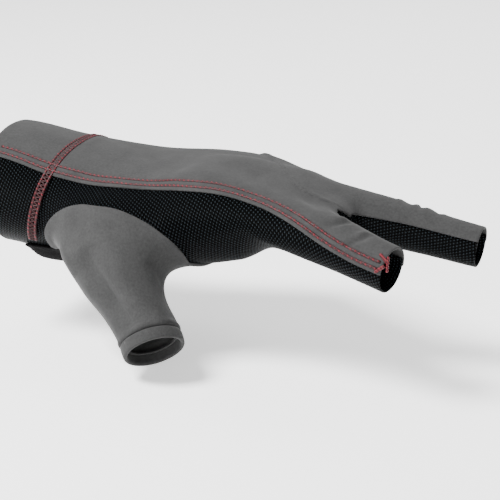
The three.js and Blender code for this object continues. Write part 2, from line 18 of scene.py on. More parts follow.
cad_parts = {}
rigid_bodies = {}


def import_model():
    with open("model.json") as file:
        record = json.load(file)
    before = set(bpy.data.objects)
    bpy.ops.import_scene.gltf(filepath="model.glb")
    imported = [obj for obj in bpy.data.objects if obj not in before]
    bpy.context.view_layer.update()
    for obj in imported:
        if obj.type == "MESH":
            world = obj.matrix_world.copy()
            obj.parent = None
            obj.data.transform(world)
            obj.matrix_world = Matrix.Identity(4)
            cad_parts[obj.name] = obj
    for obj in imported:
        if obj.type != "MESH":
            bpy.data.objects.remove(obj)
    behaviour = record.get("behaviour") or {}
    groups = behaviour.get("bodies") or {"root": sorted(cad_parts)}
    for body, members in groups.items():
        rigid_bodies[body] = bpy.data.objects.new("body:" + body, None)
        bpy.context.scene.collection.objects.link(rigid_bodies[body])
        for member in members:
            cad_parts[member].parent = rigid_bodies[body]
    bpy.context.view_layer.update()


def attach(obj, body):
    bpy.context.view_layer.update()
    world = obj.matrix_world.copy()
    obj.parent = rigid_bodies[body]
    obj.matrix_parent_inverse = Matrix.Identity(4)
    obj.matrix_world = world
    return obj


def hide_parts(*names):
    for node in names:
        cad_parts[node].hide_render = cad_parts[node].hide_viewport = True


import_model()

LOG = logging.getLogger("glove")
MM = 0.001
# How much of a UV map one millimetre of cloth takes
UV_PER_MM = 0.005
# The side of the skin's triangles, how far from a cut they change, and how near it a point has
# to be to move onto it
SKIN_CELL = 1.0
CUT_BAND = 3 * SKIN_CELL
SNAP_REACH = 0.28 * SKIN_CELL
# Shares and turns of the easing that softens the form's creases without shrinking it
EASE_SHARES = (0.6, -0.62)
EASE_TURNS = 24
UNWRAP_TURNS = 12
# How round a limb's ends are, as a share of its width
CAP_SHARE = 0.4
# What a field's steepness is taken as at least, so that no step towards its zero runs away
LEAST_SLOPE = 0.2
LEAST_SEAM_SLOPE = 0.001
TINY = 1e-9
NEAR_ZERO = 1e-6
FAR_AWAY = 1e9
Field = Callable[[np.ndarray], np.ndarray]
Place = tuple[float, float, float]
Span = tuple[float, float]

# Sections of the palm: at is a share of the hand's length, across of the palm's width and lift
# of its depth. Each width and depth mixes shares of the wrist's and the palm's.
# at, across, lift, wrist wide, palm wide, wrist deep, palm deep, power
PALM_ROWS = (
    (-0.09, 0, 0.075, 1, 0, 0.975, 0, 2.2),
    (0, 0, 0.075, 1, 0, 0.975, 0, 2.2),
    (0.215, 0, -0.006, 0.97, 0, 0.95, 0, 2.2),
    (0.45, 0.025, 0, 0.4, 0.565, 0.45, 0.5, 2.3),
    (0.71, 0.05, 0.078, 0, 0.975, 0, 1, 2.4),
    (0.93, 0.1125, 0.094, 0, 0.9125, 0, 0.81, 2.4),
    (1.12, 0.125, 0.094, 0, 0.8, 0, 0.6, 2.4),
)
# Sections of the other limbs: at is a share of the limb's length, and lift, wide and deep are
# shares of its width.
BALL_ROWS = (
    (-0.08, 0, 0.59, 0.67), (0, 0, 0.89, 0.96), (0.38, -0.037, 1, 1.11),
    (0.85, -0.02, 0.89, 0.93), (1.3, 0.05, 0.66, 0.6),
)
INDEX_ROWS = (
    (-0.114, -0.11, 0.89, 0.89), (0, -0.055, 1.22, 1.22), (0.343, 0.2, 1.28, 1.05),
    (0.686, 0.222, 1.09, 1.13), (0.96, 0.122, 1, 1), (1.143, 0.045, 0.97, 0.96),
)
MIDDLE_ROWS = (
    (-0.094, -0.118, 0.94, 0.94), (0, -0.059, 1.29, 1.35), (0.283, 0.059, 1.41, 1.41),
    (0.66, 0.129, 1.13, 1.13), (1, 0.035, 0.99, 0.93), (1.113, 0.018, 0.98, 0.89),
)
THUMB_ROWS = (
    (-0.1, -0.174, 1.04, 1.39), (0.17, -0.16, 1.3, 1.71), (0.427, -0.19, 1.3, 1.38),
    (0.683, -0.115, 1.13, 1.07), (0.887, -0.017, 1.04, 1.02), (1.13, 0, 1, 1),
)
WEB_ROWS = (
    (-0.17, 0, 0.45, 0.45), (0, 0.06, 0.8, 0.62), (0.73, 0.06, 0.8, 0.56),
    (1.03, -0.03, 0.68, 0.5), (1.23, -0.12, 0.34, 0.34),
)
# The seam between the grey back and the mesh underside, as shares of half the local depth:
# at, thumb's side, little finger's side, index finger, middle finger
BORDER_ROWS = (
    (-0.1, 0.86, 0.1, 0.6, 0.5), (0.1, 0.71, 0.07, 0.6, 0.5), (0.187, 0.633, 0.05, 0.6, 0.5),
    (0.352, 0.612, 0.05, 0.6, 0.5), (0.535, 0.682, 0.05, 0.6, 0.5),
    (0.617, 0.716, 0.05, 0.57, 0.5), (0.7, 0.7, 0.05, 0.605, 0.5),
    (0.787, 0.663, 0.05, 0.72, 0.5), (0.874, 0.61, 0.05, 0.925, 0.5),
    (0.93, 0.6, 0.05, 1.06, 0.5), (0.978, 0.6, 0.05, 1.04, 0.48),
    (1.065, 0.6, 0.05, 0.702, 0.45), (1.152, 0.6, 0.05, 0.415, 0.42),
    (1.239, 0.6, 0.05, 0.171, 0.38), (1.326, 0.6, 0.05, 0.045, 0.4),
    (1.448, 0.6, 0.05, 0.06, 0.49), (1.7, 0.6, 0.05, 0.06, 0.62),
)
# Two seams seen from above: a share of the hand's length, and of the palm's width
RIDGE_ROWS = (
    (0.509, 0.75), (0.891, 0.238), (0.961, 0.025), (1.013, -0.088), (1.1, -0.225),
    (1.161, -0.256), (1.222, -0.263), (1.85, -0.325),
)
OPENING_ROWS = (
    (0.45, 0.85), (0.752, 0.5), (0.909, 0.3), (0.99, 0.22), (1.06, 0.15), (1.13, 0.085),
    (1.19, 0.052), (1.26, 0.07), (1.35, 0.13), (1.85, 0.35),
)


def vec(*values: float) -> np.ndarray:
    """Gives a float array of the values."""
    return np.array(values, float)


def unit(vectors: np.ndarray) -> np.ndarray:
    """Gives the vectors at length one."""
    size = np.linalg.norm(vectors, axis=-1, keepdims=True)
    return vectors / np.maximum(size, TINY)


def mix(low: np.ndarray, high: np.ndarray, share: np.ndarray) -> np.ndarray:
    """Gives the value that lies a share of the way from low to high."""
    return low + (high - low) * share


def smooth_step(low: float, high: float, value: np.ndarray) -> np.ndarray:
    """Gives 0 below low, 1 above high and a smooth rise between them."""
    t = np.clip((value - low) / (high - low), 0, 1)
    return t * t * (3 - 2 * t)


def bell(distance: np.ndarray, width: float) -> np.ndarray:
    """Gives 1 at no distance, falling smoothly to near 0 at twice the width."""
    return np.exp(-((distance / width) ** 2))


def dot(a: np.ndarray, b: np.ndarray) -> np.ndarray:
    """Gives the row by row dot product of two arrays of vectors."""
    return np.einsum("...i,...i->...", a, b)


def outside(inside: Field) -> Field:
    """Gives the field that is positive where another one is negative."""
    return lambda points: -inside(points)


class Profile:
    """A smooth curve through one column of a table."""

    def __init__(self, at: Sequence[float], values: Sequence[float]) -> None:
        """Keeps the curve's points and works out its slope at each.

        Args:
            at: Where the points stand.
            values: The value at each.
        """
        self.at = np.asarray(at, float)
        self.values = np.asarray(values, float)
        self.step = np.diff(self.at)
        rise = np.diff(self.values) / self.step
        self.slope = np.empty_like(self.values)
        self.slope[0], self.slope[-1] = rise[0], rise[-1]
        weighted = rise[:-1] * self.step[1:] + rise[1:] * self.step[:-1]
        self.slope[1:-1] = weighted / (self.step[1:] + self.step[:-1])

    def __call__(self, at: np.ndarray) -> np.ndarray:
        """Gives the curve's value at each place, held level past its ends.

        Args:
            at: The places.

        Returns:
            One value for each place.
        """
        x = np.clip(at, self.at[0], self.at[-1])
        i = np.clip(np.searchsorted(self.at, x) - 1, 0, len(self.at) - 2)
        h = self.step[i]
        t = (x - self.at[i]) / h
        s = 1 - t
        low = (1 + 2 * t) * s * s * self.values[i] + t * s * s * h * self.slope[i]
        high = t * t * (3 - 2 * t) * self.values[i + 1] - t * t * s * h * self.slope[i + 1]
        return low + high


def meet(a: np.ndarray, b: np.ndarray, size: float) -> np.ndarray:
    """Gives the farther of two distances, with a round edge where both are near."""
    corner = np.hypot(np.maximum(a + size, 0), np.maximum(b + size, 0))
    return np.minimum(np.maximum(a, b), -size) + corner


class Limb:
    """A run of rounded sections along a straight line."""

    def __init__(self, root: np.ndarray, direction: np.ndarray, up: np.ndarray,
                 rows: np.ndarray, cap: float) -> None:
        """Keeps the limb's line and sections.

        Args:
            root: Where the line starts.
            direction: Where it points.
            up: The side that its lift is measured towards.
            rows: Rows of at, across, lift, wide, deep and power.
            cap: How round the edges of its two ends are.
        """
        self.cap = cap
        self.root = root
        self.direction = unit(direction)
        self.side = unit(np.cross(up, self.direction))
        self.up = np.cross(self.direction, self.side)
        self.first, self.last = rows[0, 0], rows[-1, 0]
        columns = [Profile(rows[:, 0], rows[:, n]) for n in range(1, 6)]
        self.across, self.lift, self.wide, self.deep, self.power = columns

    def at(self, along: float) -> np.ndarray:
        """Gives the middle of the section at a distance along the limb.

        Args:
            along: The distance.

        Returns:
            The section's middle.
        """
        here = np.asarray(along, float)
        middle = self.direction * along + self.up * self.lift(here) + self.side * self.across(here)
        return self.root + middle

    def distance(self, points: np.ndarray) -> np.ndarray:
        """Gives how far each point lies outside the limb.

        Args:
            points: The points to look at.

        Returns:
            One distance for each point, below zero inside.
        """
        offset = points - self.root
        along = offset @ self.direction
        wide, deep, power = self.wide(along), self.deep(along), self.power(along)
        a = np.abs(offset @ self.side - self.across(along)) / wide + NEAR_ZERO
        b = np.abs(offset @ self.up - self.lift(along)) / deep + NEAR_ZERO
        reach = (a**power + b**power) ** (1 / power)
        steep = reach ** (1 - power) * np.hypot(a ** (power - 1) / wide, b ** (power - 1) / deep)
        past = np.maximum(along - self.last, self.first - along)
        return meet((reach - 1) / steep, past, self.cap)

    def section(self, x: np.ndarray) -> tuple[np.ndarray, np.ndarray, np.ndarray, np.ndarray]:
        """Gives the middle's y and z, and the half width and depth, where the limb meets x.

        Args:
            x: The places along the glove.

        Returns:
            The four values at each place.
        """
        along = (x - self.root[0]) / self.direction[0]
        across, lift = self.across(along), self.lift(along)
        y = self.root[1] + self.direction[1] * along + self.up[1] * lift + self.side[1] * across
        z = self.root[2] + self.direction[2] * along + self.up[2] * lift + self.side[2] * across
        return y, z, self.wide(along), self.deep(along)


def round_limb(root: np.ndarray, direction: np.ndarray, up: np.ndarray, length: float,
               width: float, shares: Sequence[Sequence[float]]) -> Limb:
    """Gives a limb whose sections are ellipses, from shares of its length and width.

    Args:
        root: Where its line starts.
        direction: Where it points.
        up: The side that its lift is measured towards.
        length: Its length.
        width: Its width.
        shares: Rows of at, lift, wide and deep.

    Returns:
        The limb.
    """
    table = np.array(shares, float)
    rows = np.zeros((len(table), 6))
    rows[:, 0] = table[:, 0] * length
    rows[:, 2] = table[:, 1] * width
    rows[:, 3] = table[:, 2] * width / 2
    rows[:, 4] = table[:, 3] * width / 2
    rows[:, 5] = 2
    return Limb(root, direction, up, rows, CAP_SHARE * width)


def blend(a: np.ndarray, b: np.ndarray, size: float) -> np.ndarray:
    """Gives the nearer of two distances, with a round fillet where they are alike."""
    h = np.maximum(size - np.abs(a - b), 0) / size
    return np.minimum(a, b) - h * h * size / 4


def gradient(of: Field, points: np.ndarray, reach: float = 0.2) -> np.ndarray:
    """Gives a field's slope at each point.

    Args:
        of: The field.
        points: The points to look at.
        reach: How far to each side it is measured.

    Returns:
        One slope for each point.
    """
    slope = np.empty_like(points)
    for axis in range(3):
        step = np.zeros(3)
        step[axis] = reach
        slope[:, axis] = (of(points + step) - of(points - step)) / (2 * reach)
    return slope


@dataclass
class Patch:
    """A piece of the skin: points and the triangles between them."""

    points: np.ndarray
    faces: np.ndarray

    def tidy(self) -> "Patch":
        """Gives the patch without the points that no triangle uses."""
        used, faces = np.unique(self.faces, return_inverse=True)
        return Patch(self.points[used], faces.reshape(-1, 3))

    def area(self) -> float:
        """Gives the patch's area."""
        a, b, c = (self.points[self.faces[:, n]] for n in range(3))
        return float(np.linalg.norm(np.cross(b - a, c - a), axis=1).sum() / 2)


@dataclass
class HandForm:
    """The smooth form that gives every panel its outer face, with the model's main sizes.

    Roots and tips are shares of the hand's length, width and depth, and a span is where a change
    starts and where it ends.
    """

    hand_length: float = 115
    wrist_width: float = 62
    wrist_depth: float = 49
    palm_width: float = 80
    palm_depth: float = 32
    palm_cap: float = 8
    cuff_length: float = 22.9
    index_length: float = 87.5
    index_width: float = 18
    middle_length: float = 106
    middle_width: float = 17
    thumb_length: float = 58.6
    thumb_width: float = 23
    fork_reach: float = 26
    knuckle_blend: float = 12
    fork_blend: float = 9
    thumb_blend: float = 14
    seam_width: float = 60
    seam_rise: float = 21.7
    seam_wrap: float = 1.1
    hem_height: float = 3.6
    strap_start: float = 10
    strap_width: float = 19
    strap_top: float = -0.36
    strap_side: float = -0.4
    fork_rise: float = 4
    gusset_drop: float = 5
    notch_rise: float = 3.6
    sheet_lean: float = 1.2
    mouth_lean: float = 0.08
    ring_lean: Span = (0.065, 0.263)
    index_root: Place = (0.726, -0.25, 0.25)
    index_way: Place = (0.957, -0.244, -0.156)
    middle_root: Place = (0.752, -0.025, 0.25)
    middle_way: Place = (0.994, -0.028, -0.109)
    thumb_root: Place = (0.448, -0.275, -0.062)
    thumb_way: Place = (0.503, -0.533, -0.681)
    ball_root: Place = (0.404, -0.175, -0.125)
    ball_tip: Place = (0.857, -0.25, -0.125)
    ball_share: float = 1 / 3
    ball_blend: float = 9.6
    web_root: Place = (0.97, -0.175, 0.22)
    fork_place: Place = (0, -0.237, 0.22)
    seam_facing: Place = (0, -0.926, -0.377)
    seam_ahead: float = 1 / 24
    seam_low: float = 0.39
    seam_legs: Span = (0.12, 0.6)
    seam_flare: float = 1.45
    mouth_reach: float = 0.75
    lean_start: float = 0.85
    ulnar_span: Span = (-0.1, 0.25)
    finger_span: Span = (0.7, 0.87)
    finger_change: float = 0.2
    fork_span: Span = (0.1, 0.7)
    notch_ahead: Span = (-0.6, 0.9)
    notch_near: Span = (-0.2, -1.8)
    notch_far: Span = (-6, -3.5)
    notch_side: Span = (0, 2)
    notch_share: float = 0.85
    box_margin: float = 4

    def __post_init__(self) -> None:
        """Builds the limbs and the seams' curves."""
        up, forward = vec(0, 0, 1), vec(1, 0, 0)
        table = np.array(PALM_ROWS, float)
        wide = (table[:, 3] * self.wrist_width + table[:, 4] * self.palm_width) / 2
        deep = (table[:, 5] * self.wrist_depth + table[:, 6] * self.palm_depth) / 2
        rows = np.stack([table[:, 0] * self.hand_length, table[:, 1] * self.palm_width,
                         table[:, 2] * self.palm_depth, wide, deep, table[:, 7]], axis=1)
        self.palm = Limb(vec(0, 0, 0), forward, up, rows, self.palm_cap)
        self.index = round_limb(self.inside(self.index_root), vec(*self.index_way), up,
                                self.index_length, self.index_width, INDEX_ROWS)
        self.middle = round_limb(self.inside(self.middle_root), vec(*self.middle_way), up,
                                 self.middle_length, self.middle_width, MIDDLE_ROWS)
        self.thumb = round_limb(self.inside(self.thumb_root), vec(*self.thumb_way), forward,
                                self.thumb_length, self.thumb_width, THUMB_ROWS)
        self.ball = self.between(self.inside(self.ball_root), self.inside(self.ball_tip),
                                 self.palm_width * self.ball_share, BALL_ROWS)
        self.fork_x = self.hand_length + self.fork_reach
        fork = self.inside(self.fork_place) + forward * self.fork_x
        self.web = self.between(self.inside(self.web_root), fork, self.middle_width, WEB_ROWS)
        border = np.array(BORDER_ROWS, float)
        names = ("radial", "ulnar", "index", "middle")
        self.border = {name: Profile(border[:, 0], border[:, n + 1])
                       for n, name in enumerate(names)}
        self.ridge_curve = Profile(*np.array(RIDGE_ROWS, float).T)
        self.opening_curve = Profile(*np.array(OPENING_ROWS, float).T)
        self.facing = unit(vec(*self.seam_facing))
        self.rising = unit(np.cross(self.facing, forward))
        self.seam_centre = (self.thumb.root + forward * self.seam_width * self.seam_ahead
                            - self.rising * self.seam_rise * self.seam_low)

    def inside(self, shares: Place) -> np.ndarray:
        """Gives a place inside the hand, from shares of its length, width and depth."""
        return vec(*shares) * vec(self.hand_length, self.palm_width, self.palm_depth)

    def between(self, root: np.ndarray, tip: np.ndarray, width: float,
                shares: Sequence[Sequence[float]]) -> Limb:
        """Gives a round limb from one place to another."""
        length = float(np.linalg.norm(tip - root))
        return round_limb(root, tip - root, vec(0, 0, 1), length, width, shares)

    def distance(self, points: np.ndarray) -> np.ndarray:
        """Gives how far each point lies outside the form.

        Args:
            points: The points to look at.

        Returns:
            One distance for each point, below zero inside.
        """
        far = blend(self.palm.distance(points), self.ball.distance(points), self.ball_blend)
        far = blend(far, self.index.distance(points), self.knuckle_blend)
        far = blend(far, self.middle.distance(points), self.knuckle_blend)
        far = blend(far, self.web.distance(points), self.fork_blend)
        return blend(far, self.thumb.distance(points), self.thumb_blend)

    def normals(self, points: np.ndarray) -> np.ndarray:
        """Gives the direction straight out of the form at each point."""
        return unit(gradient(self.distance, points))

    def slope_of(self, seam: Field, points: np.ndarray) -> np.ndarray:
        """Gives the slope of a seam's field along the form at each point.

        Args:
            seam: The field that is zero along the seam.
            points: The points to look at.

        Returns:
            One slope for each point.
        """
        outward = self.normals(points)
        slope = gradient(seam, points)
        return slope - outward * dot(slope, outward)[:, None]

    def onto(self, points: np.ndarray, turns: int = 3) -> np.ndarray:
        """Gives the points moved onto the form.

        Args:
            points: The points to move.
            turns: How many steps they take.

        Returns:
            The moved points.
        """
        for _ in range(turns):
            slope = gradient(self.distance, points)
            steep = np.maximum(dot(slope, slope), LEAST_SLOPE)
            points = points - slope * (self.distance(points) / steep)[:, None]
        return points

    def ridge(self, points: np.ndarray) -> np.ndarray:
        """Gives how far each point lies on the middle finger's side of the ridge seam."""
        curve = self.ridge_curve(points[:, 0] / self.hand_length)
        return points[:, 1] - curve * self.palm_width

    def opening(self, points: np.ndarray) -> np.ndarray:
        """Gives how far each point lies inside the opening that leaves two fingers bare."""
        curve = self.opening_curve(points[:, 0] / self.hand_length)
        return points[:, 1] - curve * self.palm_width

    def ring(self, points: np.ndarray) -> np.ndarray:
        """Gives how far each point lies in front of the ring seam."""
        seam = self.cuff_length + self.ring_lean[0] * points[:, 1]
        return points[:, 0] - seam - self.ring_lean[1] * points[:, 2]

    def mouth(self, points: np.ndarray) -> np.ndarray:
        """Gives how far each point lies in front of the cuff mouth."""
        return points[:, 0] + self.mouth_lean * points[:, 2]

    def sheet(self, limb: Limb, x: np.ndarray, y: np.ndarray, share: np.ndarray) -> np.ndarray:
        """Gives the height of a seam's sheet on a limb.

        Args:
            limb: The limb.
            x: The places along the glove.
            y: The places across it.
            share: How high the sheet is, as a share of the limb's half depth.

        Returns:
            One height for each place.
        """
        middle_y, middle_z, wide, deep = limb.section(x)
        reach = self.index_width / 2
        past = np.clip(y - middle_y + self.lean_start * wide, -reach, reach)
        return middle_z + share * deep - self.sheet_lean * share * share * past

    def above_border(self, points: np.ndarray) -> np.ndarray:
        """Gives how far each point lies above the seam between the back and the underside.

        Args:
            points: The points to look at.

        Returns:
            One distance for each point.
        """
        x, y, z = points.T
        at = x / self.hand_length
        ridge = self.ridge(points)
        change = self.finger_change * self.index_width
        levels = {name: self.sheet(limb, x, y, self.border[name](at)) for name, limb in (
            ("radial", self.palm), ("ulnar", self.palm), ("index", self.index),
            ("middle", self.middle))}
        palm = mix(levels["radial"], levels["ulnar"],
                   smooth_step(*vec(*self.ulnar_span) * self.palm_width, y))
        fingers = mix(levels["index"], levels["middle"], smooth_step(-change, change, ridge))
        near_fork = np.hypot(x - self.fork_x, ridge) / self.middle_width
        rise = self.fork_rise * (1 - smooth_step(*self.fork_span, near_fork))
        rise = rise * (1 - self.notch_share * smooth_step(*self.notch_side, ridge))
        notch = smooth_step(*self.notch_ahead, x - self.fork_x)
        notch = notch * smooth_step(*self.notch_near, ridge) * smooth_step(*self.notch_far, ridge)
        level = mix(palm, fingers, smooth_step(*self.finger_span, at))
        return z - level - rise - self.notch_rise * notch

    def gusset(self, points: np.ndarray) -> np.ndarray:
        """Gives how far each point lies inside the gusset's block.

        Args:
            points: The points to look at.

        Returns:
            One distance for each point.
        """
        x, y, z = points.T
        start = self.fork_x - self.middle_width / 2
        index, middle = (limb.root[1] + limb.direction[1] * (x - limb.root[0]) / limb.direction[0]
                         for limb in (self.index, self.middle))
        to_middle = smooth_step(-self.index_width / 2, self.index_width / 2, self.ridge(points))
        floor = mix(self.index.section(x)[1], self.middle.section(x)[1], to_middle)
        inside = np.minimum(x - start, z - floor + self.gusset_drop)
        return np.minimum(inside, np.minimum(y - index, middle - y))

    def past(self, limb: Limb, length: float, width: float, points: np.ndarray) -> np.ndarray:
        """Gives how far each point lies inside the block that cuts a limb off square.

        Args:
            limb: The limb.
            length: Where the limb is cut off.
            width: The limb's width.
            points: The points to look at.

        Returns:
            One distance for each point.
        """
        reach = self.mouth_reach * width
        offset = points - limb.at(length)
        along = offset @ limb.direction
        side = reach - np.abs(offset @ limb.side)
        return np.minimum(along, np.minimum(side, reach - np.abs(offset @ limb.up)))

    def index_mouth(self, points: np.ndarray) -> np.ndarray:
        """Gives how far each point lies past the index finger's mouth."""
        return self.past(self.index, self.index_length, self.index_width, points)

    def middle_mouth(self, points: np.ndarray) -> np.ndarray:
        """Gives how far each point lies past the middle finger's mouth."""
        return self.past(self.middle, self.middle_length, self.middle_width, points)

    def along_thumb(self, points: np.ndarray) -> np.ndarray:
        """Gives how far along the thumb each point lies."""
        return (points - self.thumb.root) @ self.thumb.direction

    def thumb_seam(self, points: np.ndarray) -> np.ndarray:
        """Gives how far each point lies inside the arched seam round the thumb's root.

        Args:
            points: The points to look at.

        Returns:
            One distance for each point.
        """
        offset = points - self.seam_centre
        x, y, z = offset[:, 0], offset @ self.rising, offset @ self.facing
        half, rise = self.seam_width / 2, self.seam_rise
        reach = np.hypot(x / half, y / rise) + TINY
        steep = np.hypot(x / half**2, y / rise**2) / reach
        arch = (1 - reach) / np.maximum(steep, NEAR_ZERO)
        right = np.interp(-y, vec(*self.seam_legs) * rise, [half, self.seam_flare * half])
        legs = np.minimum(x + half, right - x)
        return np.minimum(np.where(y > 0, arch, legs), z + self.seam_wrap)

    def strap(self, points: np.ndarray) -> np.ndarray:
        """Gives how far each point lies inside the wrist strap's outline.

        Args:
            points: The points to look at.

        Returns:
            One distance for each point.
        """
        lean = self.mouth(points) - self.strap_start
        along = np.minimum(lean, self.strap_width - lean)
        under = self.strap_top * self.wrist_depth - points[:, 2]
        side = points[:, 1] - self.strap_side * self.wrist_width
        return np.minimum(along, np.minimum(under, side))

    def box(self) -> tuple[np.ndarray, np.ndarray]:
        """Gives the corners of the box that holds every limb.

        Returns:
            The lowest and the highest corner.
        """
        low, high = np.full(3, FAR_AWAY), np.full(3, -FAR_AWAY)
        for limb in (self.palm, self.index, self.middle, self.thumb):
            for along in limb.lift.at:
                here = np.asarray(along, float)
                reach = max(float(limb.wide(here)), float(limb.deep(here))) + self.box_margin
                low = np.minimum(low, limb.at(along) - reach)
                high = np.maximum(high, limb.at(along) + reach)
        return low, high

    def grid(self, cell: float, block: int = 4,
             near_share: float = 1.3) -> tuple[np.ndarray, np.ndarray]:
        """Gives the form's distance on a grid, exact only near its surface.

        Args:
            cell: The grid's spacing.
            block: How many cells share one first look.
            near_share: How many blocks from the surface a block is looked at closely.

        Returns:
            The grid's lowest corner, and its values.
        """
        low, high = self.box()
        count = (np.ceil((high - low) / (cell * block)).astype(int) + 1)
        middle = np.stack(np.meshgrid(*[np.arange(n) for n in count], indexing="ij"), -1)
        centre = low + (middle.reshape(-1, 3) * block + (block - 1) / 2) * cell
        coarse = self.distance(centre)
        values = np.repeat(np.repeat(np.repeat(
            coarse.reshape(count), block, 0), block, 1), block, 2)
        near = middle.reshape(-1, 3)[np.abs(coarse) < cell * block * near_share]
        inner = np.stack(np.meshgrid(*[np.arange(block)] * 3, indexing="ij"), -1).reshape(-1, 3)
        nodes = (near[:, None] * block + inner[None]).reshape(-1, 3)
        values[tuple(nodes.T)] = self.distance(low + nodes * cell)
        return low, values

    def skin(self, cell: float) -> Patch:
        """Draws the form's surface as fine triangles.

        Args:
            cell: The size of a triangle's side.

        Returns:
            The closed skin, facing outwards.
        """
        low, values = self.grid(cell)
        inside = values < 0
        shape = np.array(values.shape)
        corners = [(n & 1, (n >> 1) & 1, (n >> 2) & 1) for n in range(8)]
        block = [inside[a:shape[0] - 1 + a, b:shape[1] - 1 + b, c:shape[2] - 1 + c]
                 for a, b, c in corners]
        total = sum(part.astype(np.int8) for part in block)
        cells = np.argwhere((total > 0) & (total < 8))
        number = np.full(shape, -1)
        number[tuple(cells.T)] = np.arange(len(cells))
        summed, crossings = np.zeros((len(cells), 3)), np.zeros(len(cells))
        for n, start in enumerate(corners):
            for bit in (1, 2, 4):
                if n & bit:
                    continue
                end = corners[n | bit]
                a = values[tuple((cells + start).T)]
                b = values[tuple((cells + end).T)]
                cross = (a < 0) != (b < 0)
                share = np.where(cross, a / np.where(cross, a - b, 1), 0)[:, None]
                place = cells + np.array(start) * (1 - share) + np.array(end) * share
                summed += place * cross[:, None]
                crossings += cross
        points = low + summed / crossings[:, None] * cell
        rings = (
            ((1, 0, 0), ((0, -1, -1), (0, 0, -1), (0, 0, 0), (0, -1, 0))),
            ((0, 1, 0), ((-1, 0, -1), (-1, 0, 0), (0, 0, 0), (0, 0, -1))),
            ((0, 0, 1), ((-1, -1, 0), (0, -1, 0), (0, 0, 0), (-1, 0, 0))),
        )
        faces = []
        core = inside[1:-1, 1:-1, 1:-1]
        for ahead, around in rings:
            other = inside[tuple(slice(1 + n, size - 1 + n) for n, size in zip(ahead, shape))]
            edges = np.argwhere(core != other) + 1
            quads = np.stack([number[tuple((edges + np.array(step)).T)] for step in around], 1)
            turned = ~inside[tuple(edges.T)]
            quads[turned] = quads[turned][:, ::-1]
            faces += [quads[:, [0, 1, 2]], quads[:, [0, 2, 3]]]
        return Patch(self.onto(points), np.concatenate(faces))

    def cut(self, patch: Patch, keep: Field, both: bool = False) -> Patch:
        """Cuts a patch along the line where a field is zero.

        Args:
            patch: The patch to cut.
            keep: The field, which is positive where the patch stays.
            both: Whether the other side stays too, so that only edges are added.

        Returns:
            The patch that is left.
        """
        value = keep(patch.points)
        if not both:
            some = (value[patch.faces] > -CUT_BAND).any(axis=1)
            patch = Patch(patch.points, patch.faces[some]).tidy()
            value = keep(patch.points)
        points = patch.points.copy()
        near = np.flatnonzero(np.abs(value) < CUT_BAND)
        if len(near) == 0:
            return patch
        slope = self.slope_of(keep, points[near])
        steep = np.maximum(dot(slope, slope), NEAR_ZERO)
        close = np.abs(value[near]) < SNAP_REACH * np.sqrt(steep)
        shift = slope * (-value[near] / steep)[:, None]
        moved = near[close]
        points[moved] = self.onto(points[moved] + shift[close], 1)
        value[moved] = 0
        signs = np.sign(value)[patch.faces]
        mixed = (signs.min(axis=1) < 0) & (signs.max(axis=1) > 0)
        whole = ~mixed if both else ~mixed & (signs.sum(axis=1) > 0)
        level = np.flatnonzero(~mixed & (np.abs(signs).sum(axis=1) == 0))
        if not both and len(level):
            whole[level] = keep(points[patch.faces[level]].mean(axis=1)) > 0
        faces = patch.faces[whole].tolist()
        added: dict[tuple[int, int], int] = {}
        extra: list[np.ndarray] = []
        sides = (1, -1) if both else (1,)
        for face in patch.faces[mixed].tolist():
            for side in sides:
                ring: list[int] = []
                for a, b in zip(face, face[1:] + face[:1]):
                    if value[a] * side >= 0:
                        ring.append(a)
                    if value[a] * value[b] < 0:
                        key = (min(a, b), max(a, b))
                        if key not in added:
                            share = value[key[0]] / (value[key[0]] - value[key[1]])
                            added[key] = len(points) + len(extra)
                            extra.append(mix(points[key[0]], points[key[1]], share))
                        ring.append(added[key])
                faces += [[ring[0], ring[n], ring[n + 1]] for n in range(1, len(ring) - 1)]
        if extra:
            points = np.concatenate([points, self.onto(np.array(extra), 1)])
        return Patch(points, np.array(faces)).tidy()

    def settle(self, points: np.ndarray, seam: Field, turns: int = 4) -> np.ndarray:
        """Gives the points moved onto the form and onto a seam's line on it.

        Args:
            points: The points to move.
            seam: The field that is zero along the seam.
            turns: How many steps they take.

        Returns:
            The moved points.
        """
        for _ in range(turns):
            points = self.onto(points, 1)
            slope = self.slope_of(seam, points)
            steep = np.maximum(dot(slope, slope), LEAST_SEAM_SLOPE)
            points = points - slope * (seam(points) / steep)[:, None]
        return self.onto(points, 1)

    def trace(self, seam: Field, start: np.ndarray, heading: np.ndarray, inside: Field,
              step: float = 2, most: int = 400, least: int = 20) -> np.ndarray:
        """Follows a seam over the form.

        Args:
            seam: A field that is zero along the seam.
            start: A place near the seam's start.
            heading: The way to set off.
            inside: A field that is positive as long as the seam runs on.
            step: The distance between the points.
            most: The most points.
            least: The fewest points that a closed seam has.

        Returns:
            The points of the seam.
        """
        path = [self.settle(start[None], seam)[0]]
        way = unit(heading)
        while len(path) < most:
            here = path[-1][None]
            along = unit(np.cross(gradient(self.distance, here), gradient(seam, here)))[0]
            way = along * (1.0 if along @ way > 0 else -1.0)
            ahead = self.settle(here + way * step, seam, 2)
            value = float(inside(ahead)[0])
            if value < 0:
                before = float(inside(here)[0])
                path.append(mix(here, ahead, before / max(before - value, NEAR_ZERO))[0])
                break
            if len(path) > least and np.linalg.norm(ahead[0] - path[0]) < step * 0.75:
                path.append(path[0])
                break
            path.append(ahead[0])
        return np.array(path)

    def beside(self, path: np.ndarray, sideways: float) -> np.ndarray:
        """Gives a path moved sideways over the form, to its left as seen from outside.

        Args:
            path: The path, on the form.
            sideways: How far it moves.

        Returns:
            The moved path.
        """
        along = unit(np.gradient(path, axis=0))
        left = np.cross(self.normals(path), along)
        return self.onto(path + left * sideways, 2)


